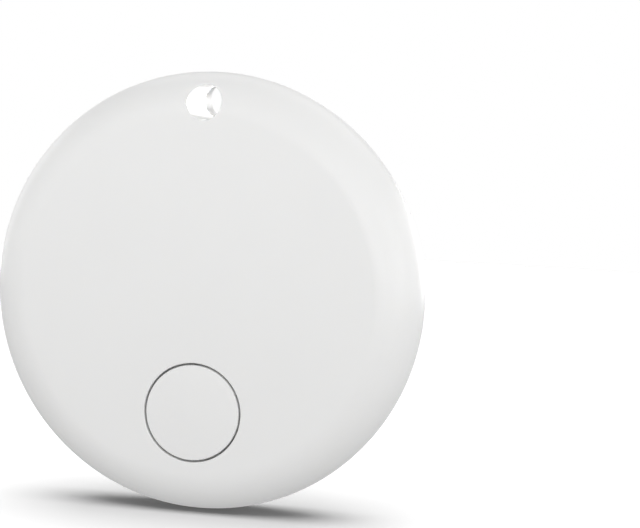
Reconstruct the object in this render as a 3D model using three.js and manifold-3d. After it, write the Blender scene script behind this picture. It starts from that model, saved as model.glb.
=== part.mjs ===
// Round Bluetooth tracker tag: a pill-edged disc that hangs from a key ring by the hole near its rim.
// Millimetres, +Z up. The front face looks along -Y and the rear cover pulls off along +Y.
// The origin is the centre of the key ring hole, halfway through the case.
// The case is sized around its coin cell: both its thickness and its diameter are sums of what it holds.
import * as THREE from 'three';
import { mergeVertices } from 'three/addons/utils/BufferGeometryUtils.js';
import Module from 'manifold-3d';

// ---- Driving dimensions ----

// Coin cell, a 20 mm by 3.2 mm lithium cell.
const cellRadius = 10;
const cellThickness = 3.2;
const cellWall = 0.25; // sheet of the can and of the cap
const cellBevel = 0.3; // rounded corner of the can
const cellCrimp = 1.2; // crimped edge of the can round the negative cap
const cellCapProud = 0.1; // how far the cap stands out of the crimp
const cellGasketWall = 0.3;

// Case.
const shellWall = 1.2; // front shell, face and rim
const coverWall = 0.8; // rear cover
const rimWidth = 3.6; // how far the rounded rim reaches in from the edge
const seamAbovePlate = 1.3; // parting plane of the case, behind the frame plate
const seamGap = 0.12; // fine gap between the two shells
const lipWall = 0.75; // locating lip of the rear cover, inside the front shell's rim
const lipDepth = 0.8;
const lipClearance = 0.15;
const pryNotchWidth = 5;
const pryNotchHeight = 0.7;
const pryNotchDepth = 0.9;

// Key ring hole.
const holeRadius = 1.5;
const holeTubeWall = 0.9;
const holeToRim = 1.1; // material left outside the hole

// Battery well of the mid frame, and the skirt of the rear cover round it.
const cellClearance = 0.2;
const wellWall = 1.3;
const wellBelowCell = 0.7; // how far the cell stands out of its well
const skirtGap = 0.5; // room between well and skirt, where the seal ring is squeezed
const skirtWall = 0.9;
const skirtToTube = 1.1;
const skirtToPlate = 0.2;
const framePlate = 0.8;
const boardInset = 0.5; // edge of the board to the inside of the front shell
const frameOverBoard = 0.25; // how far the frame's plate stands out past the board
const tubeGap = 0.25; // key ring tube to the board and the frame
const ledgeToCap = 0.1; // the ledge that the cell's edge rests on, to the cap
const ledgeGap = 0.03;
const sealSection = 0.4; // section radius of the seal ring
const sealGrooveDepth = 0.45;
const sealGrooveWidth = 0.9;
const sealAbovePlate = 1.15; // seal centre to the top of the frame plate
const fingerNotchWidth = 5; // notch beside the cell for a fingernail
const fingerNotchDepth = 0.6;

// Circuit board, and the room in front of and behind it.
const boardThickness = 0.8;
const boardRoom = 1.5; // front wall to board
const contactRoom = 0.4; // board to cell
const cellToCover = 0.1;

// Button and the switch behind it.
const buttonRadius = 4.11;
const buttonGap = 0.17; // ring groove round the button
const buttonToRim = 4.75; // edge of the button to the edge of the case
const buttonEdge = 0.12; // rounded edge of the button
const buttonTravel = 0.2;
const buttonSkin = 0.9; // wall of the hollow button
const flangeWidth = 0.8;
const flangeThickness = 0.4;
const flangeGap = 0.1; // front wall to flange
const nibRadius = 1.1;
const nibGap = 0.02; // nib to plunger
const keyWidth = 1.4; // tab that stops the button turning, and the two ribs beside it
const keyLength = 0.7;
const keyGap = 0.1;
const keyRibWidth = 0.6;
const keyRibHeight = 0.7;
const switchSide = 4.4;
const switchHeight = 0.62;
const switchPlate = 0.1;
const switchFloor = 0.1;
const plungerRadius = 1;
const plungerGap = 0.1;
const plungerFlangeWidth = 0.3; // flange that keeps the plunger in the switch
const plungerFlangeHeight = 0.15;
const domeRadius = 1.25;
const domeRise = 0.05;
const domeSheet = 0.05;
const domeGap = 0.02; // dome to the plunger at the end of its travel

// Screws through frame and board into the front shell, and the locating pin at the fourth corner.
const screwRadius = 0.55;
const screwHeadRadius = 1.1;
const screwHeadHeight = 0.5;
const screwToSkirt = 0.4;
const screwGap = 0.15;
const screwTipGap = 0.1;
const screwSlotWidth = 0.3;
const screwSlotLength = 1.3;
const screwSlotDepth = 0.25;
const pilotGap = 0.06;
const pilotWall = 0.4; // floor left under the pilot hole, on top of the front wall
const bossWall = 0.75;
const cornerAngle = 35; // degrees above and below the horizontal
const pinRadius = 0.6;

// Buzzer: a piezo disc glued to the front wall.
const buzzerRadius = 7.5;
const buzzerAdhesive = 0.1;
const buzzerAdhesiveWidth = 0.9;
const buzzerPlate = 0.2;
const ceramicInset = 2.3; // edge of the ceramic to the edge of the plate
const ceramicThickness = 0.2;

// Sheet metal contacts.
const contactSheet = 0.12;
const contactGap = 0.03;
const springWidth = 1.2;
const negativeReach = 4.2; // half length of the negative contact
const negativeWidth = 3;
const negativeFoot = 1.6; // half length of its flat foot
const positiveWidth = 3.4;
const positiveFoot = 0.45;
const positiveRecess = 0.45;
const positiveMargin = 0.3;
const positiveBelowWell = 0.4;
const buzzerSpringLength = 2.2;

// ---- Worked out from the driving dimensions ----

const thickness =
  shellWall + boardRoom + boardThickness + contactRoom + cellThickness + cellToCover + coverWall;
const frontY = -thickness / 2;
const rearY = thickness / 2;
const insideFrontY = frontY + shellWall;
const boardFrontY = insideFrontY + boardRoom;
const boardRearY = boardFrontY + boardThickness;
const cellFrontY = boardRearY + contactRoom;
const cellRearY = cellFrontY + cellThickness;
const insideRearY = rearY - coverWall;
const plateTopY = boardRearY + framePlate;
const seamY = plateTopY + seamAbovePlate;
const coverSeamY = seamY + seamGap;
const wellTopY = cellRearY - wellBelowCell;

const cellCapRadius = cellRadius - cellCrimp;
const ledgeRadius = cellCapRadius + ledgeToCap;
const wellInner = cellRadius + cellClearance;
const wellOuter = wellInner + wellWall;
const skirtInner = wellOuter + skirtGap;
const skirtOuter = skirtInner + skirtWall;
const tubeRadius = holeRadius + holeTubeWall;
const holeOffset = skirtOuter + skirtToTube + tubeRadius; // disc centre to hole centre
const caseRadius = holeOffset + holeRadius + holeToRim;
const rimDepth = thickness / 2; // the rim is half an ellipse, from face to face
const rimCentre = caseRadius - rimWidth;
const boreRadius = caseRadius - shellWall;

const openingRadius = buttonRadius + buttonGap;
const buttonZ = -(caseRadius - buttonToRim - buttonRadius);
const flangeRadius = buttonRadius + flangeWidth;
const flangeFrontY = insideFrontY + flangeGap;
const flangeRearY = flangeFrontY + flangeThickness;
const switchTopY = boardFrontY - switchHeight;
const plungerTopY = switchTopY - switchPlate - buttonTravel - nibGap;
const domeTopY = boardFrontY - switchFloor - domeRise - domeSheet;
const plungerEndY = domeTopY - domeGap - buttonTravel;
const nibY = plungerTopY - nibGap;

const buzzerFloorY = insideFrontY + buzzerAdhesive;
const buzzerPlateY = buzzerFloorY + buzzerPlate;
const ceramicY = buzzerPlateY + ceramicThickness;
const ceramicRadius = buzzerRadius - ceramicInset;
const buzzerZ = (buttonZ + flangeRadius + keyLength + holeOffset - tubeRadius) / 2;

const cornerRadius = skirtOuter + screwToSkirt + screwHeadRadius;
const cornerAt = (degrees) => {
  const angle = THREE.MathUtils.degToRad(degrees);
  return { x: cornerRadius * Math.cos(angle), z: cornerRadius * Math.sin(angle) };
};
const screwPlaces = [cornerAt(cornerAngle), cornerAt(180 - cornerAngle), cornerAt(180 + cornerAngle)];
const pinPlace = cornerAt(-cornerAngle);
const bossRadius = screwRadius + pilotGap + bossWall;
const pilotEndY = insideFrontY + pilotWall;

// Distance from the axis to the inside of the front shell at a given depth.
const insideRadiusAt = (y) =>
  rimCentre + (rimWidth - shellWall) * Math.sqrt(1 - (Math.min(y, 0) / (rimDepth - shellWall)) ** 2);
const boardRadius = insideRadiusAt(boardFrontY) - boardInset;
const frameRadius = boardRadius + frameOverBoard;

const wideSegments = 56; // round pieces as wide as the case
const cellSegments = 40;
const smallSegments = 16;
const rimSteps = 5; // flats in a quarter of the rim
const sealSides = 8;
const overshoot = 1; // how far a cutting tool runs past the piece it cuts

// ---- Materials ----

const material = (color, roughness, metalness = 0) =>
  new THREE.MeshStandardMaterial({ color, roughness, metalness });
const whitePlastic = material(0xe9e9e7, 0.35);
const framePlastic = material(0x26282a, 0.6);
const boardGreen = material(0x0f5a36, 0.5);
const chipBlack = material(0x191a1c, 0.55);
const nickel = material(0xc9c6bd, 0.3, 1);
const brass = material(0xc9a24a, 0.35, 1);
const steel = material(0xa9acb0, 0.35, 1);
const ceramicWhite = material(0xe6e0cf, 0.6);
const capacitorTan = material(0xa07e55, 0.55);
const sealBlue = material(0x3b6f9e, 0.7);
const tapeAmber = material(0xb98a3b, 0.6);
const gasketWhite = material(0xd8d8d2, 0.6);
const cathodeGrey = material(0x3a3a3c, 0.9);

// ---- Solids ----

const wasm = await Module();
wasm.setup();

function solidOf(geometry) {
  const bare = geometry.clone();
  bare.deleteAttribute('normal');
  bare.deleteAttribute('uv');
  const merged = mergeVertices(bare, 1e-4);
  return new wasm.Manifold(new wasm.Mesh({
    numProp: 3,
    vertProperties: merged.attributes.position.array,
    triVerts: new Uint32Array(merged.index.array),
  }));
}

function geometryOf(solid) {
  const mesh = solid.getMesh();
  return new THREE.BufferGeometry()
    .setAttribute('position', new THREE.BufferAttribute(mesh.vertProperties, 3))
    .setIndex(new THREE.BufferAttribute(mesh.triVerts, 1));
}

// A solid of revolution about the disc's axis, from [radius, y] points that run anticlockwise.
function turned(points, segments) {
  const profile = points.map(([radius, y]) => new THREE.Vector2(radius, y));
  return solidOf(new THREE.LatheGeometry(profile, segments));
}

// The same for a profile that doesn't touch the axis, which closes on its own first point.
const turnedRing = (points, segments) => turned([...points, points[0]], segments);

// [radius, y] points of an elliptic arc about (centre, 0), at angles measured from the radius, in degrees.
function arc(centre, width, depth, fromAngle, toAngle, steps) {
  return Array.from({ length: steps + 1 }, (_, i) => {
    const angle = THREE.MathUtils.degToRad(fromAngle + (toAngle - fromAngle) * i / steps);
    return [centre + width * Math.cos(angle), depth * Math.sin(angle)];
  });
}

const outerRim = (fromAngle, toAngle) => arc(rimCentre, rimWidth, rimDepth, fromAngle, toAngle, rimSteps);
const innerRim = (wall, fromAngle, toAngle) =>
  arc(rimCentre, rimWidth - wall, rimDepth - wall, fromAngle, toAngle, rimSteps);

function rod(radius, fromY, toY, x = 0, z = 0, segments = smallSegments) {
  const geometry = new THREE.CylinderGeometry(radius, radius, toY - fromY, segments);
  return solidOf(geometry.translate(x, (fromY + toY) / 2, z));
}

function block(sizeX, sizeZ, fromY, toY, x = 0, z = 0) {
  const geometry = new THREE.BoxGeometry(sizeX, toY - fromY, sizeZ);
  return solidOf(geometry.translate(x, (fromY + toY) / 2, z));
}

// A strip of sheet metal: an outline of [along, y] points, extruded by width and standing across x.
function strip(outline, width) {
  const shape = new THREE.Shape(outline.map(([along, y]) => new THREE.Vector2(along, y)));
  const geometry = new THREE.ExtrudeGeometry(shape, { depth: width, bevelEnabled: false });
  return solidOf(geometry.translate(0, 0, -width / 2).rotateY(-Math.PI / 2));
}

const rimAngleAt = (y) => THREE.MathUtils.radToDeg(Math.asin(y / rimDepth));

// ---- Case ----

// Everything in front of the parting plane that lies inside the case's outer surface.
function frontEnvelope() {
  return turned([
    [0, frontY],
    ...outerRim(-90, rimAngleAt(seamY)),
    [0, seamY],
  ], wideSegments);
}

function frontShell() {
  const cavity = turned([
    [0, insideFrontY],
    ...innerRim(shellWall, -90, 0),
    [boreRadius, seamY + overshoot],
    [0, seamY + overshoot],
  ], wideSegments);
  const rootY = insideFrontY - shellWall / 2; // what stands on the front wall starts inside it
  const tube = rod(tubeRadius, rootY, seamY, 0, holeOffset).intersect(frontEnvelope());
  let shell = frontEnvelope().subtract(cavity).add(tube);
  for (const { x, z } of [...screwPlaces, pinPlace]) {
    shell = shell.add(rod(bossRadius, rootY, boardFrontY, x, z));
  }
  shell = shell.add(rod(pinRadius, rootY, plateTopY, pinPlace.x, pinPlace.z));
  for (const { x, z } of screwPlaces) {
    shell = shell.subtract(rod(screwRadius + pilotGap, pilotEndY, seamY, x, z));
  }
  const ribX = (keyWidth + keyRibWidth) / 2 + keyGap;
  const ribZ = buttonZ + flangeRadius + keyLength / 2;
  for (const side of [-1, 1]) {
    shell = shell.add(block(keyRibWidth, keyLength, rootY, insideFrontY + keyRibHeight,
      side * ribX, ribZ + keyGap));
  }
  return shell
    .subtract(rod(holeRadius, frontY - overshoot, seamY + overshoot, 0, holeOffset))
    .subtract(rod(openingRadius, frontY - overshoot, insideFrontY + overshoot, 0, buttonZ, cellSegments));
}

function rearCover() {
  const lipOuter = boreRadius - lipClearance;
  const lipInner = lipOuter - lipWall;
  const lipAngle = THREE.MathUtils.radToDeg(Math.acos((lipInner - rimCentre) / (rimWidth - coverWall)));
  const skirtEndY = plateTopY + skirtToPlate;
  const shape = turned([
    [0, insideRearY],
    [skirtInner, insideRearY],
    [skirtInner, skirtEndY],
    [skirtOuter, skirtEndY],
    [skirtOuter, insideRearY],
    ...innerRim(coverWall, 90, lipAngle),
    [lipInner, coverSeamY - lipDepth],
    [lipOuter, coverSeamY - lipDepth],
    [lipOuter, coverSeamY],
    ...outerRim(rimAngleAt(coverSeamY), 90),
    [0, rearY],
  ], wideSegments);
  const envelope = turned([
    [0, coverSeamY],
    ...outerRim(rimAngleAt(coverSeamY), 90),
    [0, rearY],
  ], wideSegments);
  const belowLipY = coverSeamY - lipDepth - overshoot;
  const lipRelief = rod(tubeRadius + lipClearance, belowLipY, coverSeamY, 0, holeOffset);
  const collar = rod(tubeRadius, coverSeamY, rearY, 0, holeOffset).intersect(envelope);
  const notch = block(pryNotchWidth, 2 * pryNotchDepth, belowLipY, coverSeamY + pryNotchHeight,
    0, -caseRadius);
  return shape
    .subtract(lipRelief)
    .add(collar)
    .subtract(rod(holeRadius, belowLipY, rearY + overshoot, 0, holeOffset))
    .subtract(notch);
}

// ---- Button and switch ----

function buttonCap() {
  const shape = turned([
    [0, frontY],
    [buttonRadius - buttonEdge, frontY],
    [buttonRadius, frontY + buttonEdge],
    [buttonRadius, flangeFrontY],
    [flangeRadius, flangeFrontY],
    [flangeRadius, flangeRearY],
    [buttonRadius - buttonSkin, flangeRearY],
    [buttonRadius - buttonSkin, frontY + buttonSkin],
    [nibRadius, frontY + buttonSkin],
    [nibRadius, nibY],
    [0, nibY],
  ], cellSegments);
  const keyFrom = flangeRadius - flangeWidth / 2;
  const keyTo = flangeRadius + keyLength;
  return shape.add(block(keyWidth, keyTo - keyFrom, flangeFrontY, flangeRearY, 0, (keyFrom + keyTo) / 2));
}

function switchBody() {
  const bore = rod(plungerRadius + plungerFlangeWidth + plungerGap, switchTopY - overshoot,
    boardFrontY - switchFloor);
  return block(switchSide, switchSide, switchTopY, boardFrontY).subtract(bore);
}

function switchCoverPlate() {
  const hole = rod(plungerRadius + plungerGap, switchTopY - overshoot, boardFrontY);
  return block(switchSide, switchSide, switchTopY - switchPlate, switchTopY).subtract(hole);
}

const switchPlunger = () => rod(plungerRadius, plungerTopY, plungerEndY)
  .add(rod(plungerRadius + plungerFlangeWidth, plungerEndY - plungerFlangeHeight, plungerEndY));

// The snap dome that clicks and pushes the plunger back, drawn pressed nearly flat.
function switchDome() {
  const floorY = boardFrontY - switchFloor;
  return turned([
    [0, domeTopY],
    [domeRadius / 2, domeTopY + domeRise / 4],
    [domeRadius, floorY - domeSheet],
    [domeRadius, floorY],
    [domeRadius / 2, domeTopY + domeRise / 4 + domeSheet],
    [0, domeTopY + domeSheet],
  ], smallSegments);
}

// ---- Board, frame and fasteners ----

const tubeRelief = (fromY, toY) => rod(tubeRadius + tubeGap, fromY, toY, 0, holeOffset);

function drilled(solid, fromY, toY) {
  let result = solid.subtract(tubeRelief(fromY, toY));
  for (const { x, z } of screwPlaces) {
    result = result.subtract(rod(screwRadius + screwGap, fromY, toY, x, z));
  }
  return result.subtract(rod(pinRadius + screwGap, fromY, toY, pinPlace.x, pinPlace.z));
}

function circuitBoard() {
  const disc = rod(boardRadius, boardFrontY, boardRearY, 0, 0, wideSegments);
  return drilled(disc, boardFrontY - overshoot, boardRearY + overshoot);
}

function midFrame() {
  const grooveRadius = wellOuter - sealGrooveDepth;
  const grooveFromY = plateTopY + sealAbovePlate - sealGrooveWidth / 2;
  const grooveToY = grooveFromY + sealGrooveWidth;
  const ledgeTopY = cellFrontY + cellCapProud - ledgeGap;
  const shape = turnedRing([
    [ledgeRadius, boardRearY],
    [frameRadius, boardRearY],
    [frameRadius, plateTopY],
    [wellOuter, plateTopY],
    [wellOuter, grooveFromY],
    [grooveRadius, grooveFromY],
    [grooveRadius, grooveToY],
    [wellOuter, grooveToY],
    [wellOuter, wellTopY],
    [wellInner, wellTopY],
    [wellInner, ledgeTopY],
    [ledgeRadius, ledgeTopY],
  ], wideSegments);
  const recessDepth = wellInner - ledgeRadius + positiveRecess;
  const contactRecess = block(recessDepth, positiveWidth + positiveMargin * 2, boardRearY - overshoot,
    wellTopY + overshoot, wellInner + positiveRecess - recessDepth / 2);
  const fingerNotch = block(fingerNotchDepth * 2, fingerNotchWidth, grooveToY, wellTopY + overshoot,
    -wellInner);
  return drilled(shape.subtract(contactRecess).subtract(fingerNotch), boardRearY - overshoot,
    plateTopY + overshoot);
}

function sealRing() {
  const y = plateTopY + sealAbovePlate;
  const radius = wellOuter - sealGrooveDepth + sealSection + contactGap * 2;
  const lastAngle = 360 * (1 - 1 / sealSides);
  const section = arc(radius, sealSection, sealSection, 0, lastAngle, sealSides - 1);
  return turnedRing(section.map(([r, dy]) => [r, y + dy]), wideSegments);
}

function frameScrew() {
  const headTopY = plateTopY + screwHeadHeight;
  const slotY = headTopY - screwSlotDepth;
  return rod(screwHeadRadius, plateTopY, headTopY)
    .add(rod(screwRadius, pilotEndY + screwTipGap, plateTopY + screwHeadHeight / 2))
    .subtract(block(screwSlotLength, screwSlotWidth, slotY, headTopY + overshoot))
    .subtract(block(screwSlotWidth, screwSlotLength, slotY, headTopY + overshoot));
}

// ---- Coin cell ----

const crimpY = cellFrontY + cellCapProud;
const canInner = cellRadius - cellWall;
const gasketInner = canInner - cellGasketWall;

function coinCellCan() {
  const crimpInner = cellCapRadius + cellGasketWall;
  return turned([
    [0, cellRearY - cellWall],
    [canInner, cellRearY - cellWall],
    [canInner, crimpY + cellWall],
    [crimpInner, crimpY + cellWall],
    [crimpInner, crimpY],
    [cellRadius - cellBevel, crimpY],
    [cellRadius, crimpY + cellBevel],
    [cellRadius, cellRearY - cellBevel],
    [cellRadius - cellBevel, cellRearY],
    [0, cellRearY],
  ], cellSegments);
}

function coinCellCap() {
  const shoulderY = crimpY + cellWall + cellGasketWall;
  const capEndY = cellRearY - cellWall - cellGasketWall;
  return turned([
    [0, cellFrontY],
    [cellCapRadius - cellBevel, cellFrontY],
    [cellCapRadius, cellFrontY + cellBevel],
    [cellCapRadius, shoulderY],
    [gasketInner, shoulderY],
    [gasketInner, capEndY],
    [gasketInner - cellWall, capEndY],
    [gasketInner - cellWall, shoulderY + cellWall],
    [cellCapRadius - cellWall, shoulderY + cellWall],
    [cellCapRadius - cellWall, cellFrontY + cellWall],
    [0, cellFrontY + cellWall],
  ], cellSegments);
}

function coinCellGasket() {
  const shoulderY = crimpY + cellWall;
  return turnedRing([
    [cellCapRadius, crimpY],
    [cellCapRadius + cellGasketWall, crimpY],
    [cellCapRadius + cellGasketWall, shoulderY],
    [canInner, shoulderY],
    [canInner, cellRearY - cellWall],
    [gasketInner - cellWall, cellRearY - cellWall],
    [gasketInner - cellWall, cellRearY - cellWall - cellGasketWall],
    [gasketInner, cellRearY - cellWall - cellGasketWall],
    [gasketInner, shoulderY + cellGasketWall],
    [cellCapRadius, shoulderY + cellGasketWall],
  ], cellSegments);
}

function coinCellCore() {
  const shoulderY = crimpY + cellWall + cellGasketWall + cellWall;
  return turned([
    [0, cellFrontY + cellWall],
    [cellCapRadius - cellWall, cellFrontY + cellWall],
    [cellCapRadius - cellWall, shoulderY],
    [gasketInner - cellWall, shoulderY],
    [gasketInner - cellWall, cellRearY - cellWall],
    [0, cellRearY - cellWall],
  ], cellSegments);
}

// ---- Contacts ----

// Two spring arms that rise from a flat foot on the board to the cell's negative cap.
function negativeContact() {
  const tipY = cellFrontY - contactGap;
  const half = [
    [negativeReach, tipY - contactSheet],
    [negativeReach, tipY],
    [negativeReach - springWidth, tipY],
    [negativeFoot, boardRearY + contactSheet],
  ];
  const mirrored = half.map(([along, y]) => [-along, y]).reverse();
  return strip([
    [negativeFoot, boardRearY],
    [negativeReach - springWidth, tipY - contactSheet],
    ...half,
    ...mirrored,
    [springWidth - negativeReach, tipY - contactSheet],
    [-negativeFoot, boardRearY],
  ], negativeWidth);
}

// A foot on the board under a leaf that presses on the side of the cell.
function positiveContact() {
  const leafTopY = wellTopY - positiveBelowWell;
  const leaf = cellRadius + contactGap;
  const foot = block(positiveFoot, positiveWidth, boardRearY, boardRearY + contactSheet,
    leaf + positiveFoot / 2);
  return block(contactSheet, positiveWidth, boardRearY, leafTopY, leaf + contactSheet / 2).add(foot);
}

// A bow of sheet metal from the board up to the buzzer: foot, slope and flat tip.
function buzzerSpring(touchY) {
  const topY = touchY + contactGap;
  const half = buzzerSpringLength / 2;
  return strip([
    [-half, boardFrontY - contactSheet],
    [0, boardFrontY - contactSheet],
    [half - springWidth / 2, topY],
    [half, topY],
    [half, topY + contactSheet],
    [half - springWidth / 3, topY + contactSheet],
    [springWidth / 8, boardFrontY],
    [-half, boardFrontY],
  ], springWidth);
}

// ---- Small parts soldered to the front of the board ----

// x is across the board and above is from the edge of the button's flange. size is [x, z, height].
const boardParts = [
  { name: 'radio_chip', x: -5.6, above: 2.9, size: [5, 5, 0.85], look: chipBlack },
  { name: 'main_crystal', x: -9.4, above: 2.4, size: [1.6, 2, 0.45], look: nickel },
  { name: 'clock_crystal', x: -5.4, above: 6.6, size: [3.2, 1.5, 0.75], look: nickel },
  { name: 'antenna_chip', x: 1.6 - boardRadius, above: 5.2, size: [1.6, 5, 0.8], look: ceramicWhite },
  { name: 'antenna_coil', x: -12.4, above: 5.8, size: [1, 0.5, 0.5], look: capacitorTan },
  { name: 'motion_sensor', x: 4.4, above: 2.2, size: [2, 2, 0.7], look: chipBlack },
  { name: 'buzzer_coil', x: 9.2, above: 3, size: [3, 3, 0.95], look: chipBlack },
  { name: 'supply_capacitor', x: 4.6, above: 0.5, size: [1.6, 0.8, 0.8], look: capacitorTan },
  { name: 'radio_capacitor', x: -1.6, above: 1, size: [0.5, 1, 0.5], look: capacitorTan },
  { name: 'crystal_capacitor', x: -9.4, above: 0.6, size: [1, 0.5, 0.5], look: capacitorTan },
  { name: 'buzzer_capacitor', x: 6.8, above: 4.2, size: [0.5, 1, 0.5], look: capacitorTan },
];

function boardPart([sizeX, sizeZ, height]) {
  const edge = height / 8;
  const shape = new THREE.Shape([
    new THREE.Vector2(-sizeX / 2 + edge, -sizeZ / 2 + edge),
    new THREE.Vector2(sizeX / 2 - edge, -sizeZ / 2 + edge),
    new THREE.Vector2(sizeX / 2 - edge, sizeZ / 2 - edge),
    new THREE.Vector2(-sizeX / 2 + edge, sizeZ / 2 - edge),
  ]);
  const geometry = new THREE.ExtrudeGeometry(shape, {
    depth: height - 2 * edge, bevelThickness: edge, bevelSize: edge, bevelSegments: 1,
  });
  return solidOf(geometry.translate(0, 0, edge).rotateX(Math.PI / 2));
}

// ---- Assembly ----

const tag = new THREE.Group();
tag.position.z = -holeOffset;

function place(name, solid, look, x = 0, y = 0, z = 0) {
  const mesh = new THREE.Mesh(geometryOf(solid), look);
  mesh.name = name;
  mesh.position.set(x, y, z);
  tag.add(mesh);
}

place('front_shell', frontShell(), whitePlastic);
place('rear_cover', rearCover(), whitePlastic);
place('button_cap', buttonCap(), whitePlastic, 0, 0, buttonZ);
place('switch_body', switchBody(), chipBlack, 0, 0, buttonZ);
place('switch_cover_plate', switchCoverPlate(), steel, 0, 0, buttonZ);
place('switch_plunger', switchPlunger(), gasketWhite, 0, 0, buttonZ);
place('switch_dome', switchDome(), steel, 0, 0, buttonZ);
place('circuit_board', circuitBoard(), boardGreen);
place('mid_frame', midFrame(), framePlastic);
place('seal_ring', sealRing(), sealBlue);
screwPlaces.forEach(({ x, z }, i) => place(`frame_screw_${i + 1}`, frameScrew(), steel, x, 0, z));
place('coin_cell_can', coinCellCan(), nickel);
place('coin_cell_cap', coinCellCap(), nickel);
place('coin_cell_gasket', coinCellGasket(), gasketWhite);
place('coin_cell_core', coinCellCore(), cathodeGrey);
place('negative_contact', negativeContact(), nickel);
place('positive_contact', positiveContact(), nickel);
place('buzzer_adhesive', turnedRing([
  [buzzerRadius - buzzerAdhesiveWidth, insideFrontY],
  [buzzerRadius, insideFrontY],
  [buzzerRadius, buzzerFloorY],
  [buzzerRadius - buzzerAdhesiveWidth, buzzerFloorY],
], cellSegments), tapeAmber, 0, 0, buzzerZ);
place('buzzer_plate', rod(buzzerRadius, buzzerFloorY, buzzerPlateY, 0, 0, cellSegments), brass,
  0, 0, buzzerZ);
place('buzzer_ceramic', rod(ceramicRadius, buzzerPlateY, ceramicY, 0, 0, cellSegments), ceramicWhite,
  0, 0, buzzerZ);
place('buzzer_spring_inner', buzzerSpring(ceramicY), nickel, 0, 0, buzzerZ);
place('buzzer_spring_outer', buzzerSpring(buzzerPlateY), nickel,
  (ceramicRadius + buzzerRadius) / 2, 0, buzzerZ - buzzerSpringLength / 2);
for (const { name, x, above, size, look } of boardParts) {
  place(name, boardPart(size), look, x, boardFrontY, buttonZ + flangeRadius + above);
}

const origin = new THREE.Group();
origin.add(tag);

export default origin;
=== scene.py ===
"""Looks of a round white tracker tag: its case, button, battery bay, coin cell, board and buzzer.

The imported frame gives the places. Pieces are shaped in millimetres and delivered in metres, in the frame's
own axes: +Z up through the key ring hole, the front face towards -Y and the rear cover towards +Y.
"""

import logging
import math
from collections.abc import Callable, Sequence
from dataclasses import dataclass
from enum import Enum

import bmesh
import bpy
from mathutils import Matrix, Vector


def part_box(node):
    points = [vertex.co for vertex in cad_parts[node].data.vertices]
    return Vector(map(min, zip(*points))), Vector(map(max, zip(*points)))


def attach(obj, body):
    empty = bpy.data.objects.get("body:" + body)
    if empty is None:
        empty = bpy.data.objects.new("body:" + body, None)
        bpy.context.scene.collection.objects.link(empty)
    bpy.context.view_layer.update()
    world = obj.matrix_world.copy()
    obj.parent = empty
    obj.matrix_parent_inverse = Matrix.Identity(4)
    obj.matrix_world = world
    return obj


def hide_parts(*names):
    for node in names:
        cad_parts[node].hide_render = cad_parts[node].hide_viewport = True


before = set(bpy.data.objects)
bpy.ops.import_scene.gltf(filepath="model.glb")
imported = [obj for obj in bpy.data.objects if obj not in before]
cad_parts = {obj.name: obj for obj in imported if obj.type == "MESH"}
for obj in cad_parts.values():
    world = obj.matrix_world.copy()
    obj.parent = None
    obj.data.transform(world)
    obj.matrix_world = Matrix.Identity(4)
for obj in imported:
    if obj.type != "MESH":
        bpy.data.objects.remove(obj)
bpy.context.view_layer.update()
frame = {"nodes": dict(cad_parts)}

LOG = logging.getLogger("tag")

MM = 0.001  # metres in a millimetre
MERGE = 1e-4  # vertices closer than this, in millimetres, are one
PAST = 1.0  # how far a cutting tool reaches past what it cuts, in millimetres

Point = tuple[float, float]  # (distance from the axis, y), in millimetres
Colour = tuple[float, float, float]
Solid = bpy.types.Object  # a piece that is still being shaped, in millimetres


class Body(Enum):
    """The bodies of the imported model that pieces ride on."""

    CASE = "case"
    BUTTON = "button"
    PLUNGER = "plunger"
    COVER = "cover"
    CELL = "cell"


# ---- Places read from the frame ----


@dataclass(frozen=True)
class Extent:
    """The box of a CAD node at rest, in millimetres.

    Attributes:
        low: lowest corner.
        high: highest corner.
    """

    low: Vector
    high: Vector

    @classmethod
    def of(cls, node: str) -> "Extent":
        """Read a node's box from the frame.

        Args:
            node: name of the CAD node.

        Returns:
            The node's extent in millimetres.
        """
        low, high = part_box(node)
        return cls(low / MM, high / MM)

    @property
    def centre(self) -> Vector:
        """Middle of the box."""
        return (self.low + self.high) / 2

    @property
    def size(self) -> Vector:
        """Lengths of the box's sides."""
        return self.high - self.low


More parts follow.
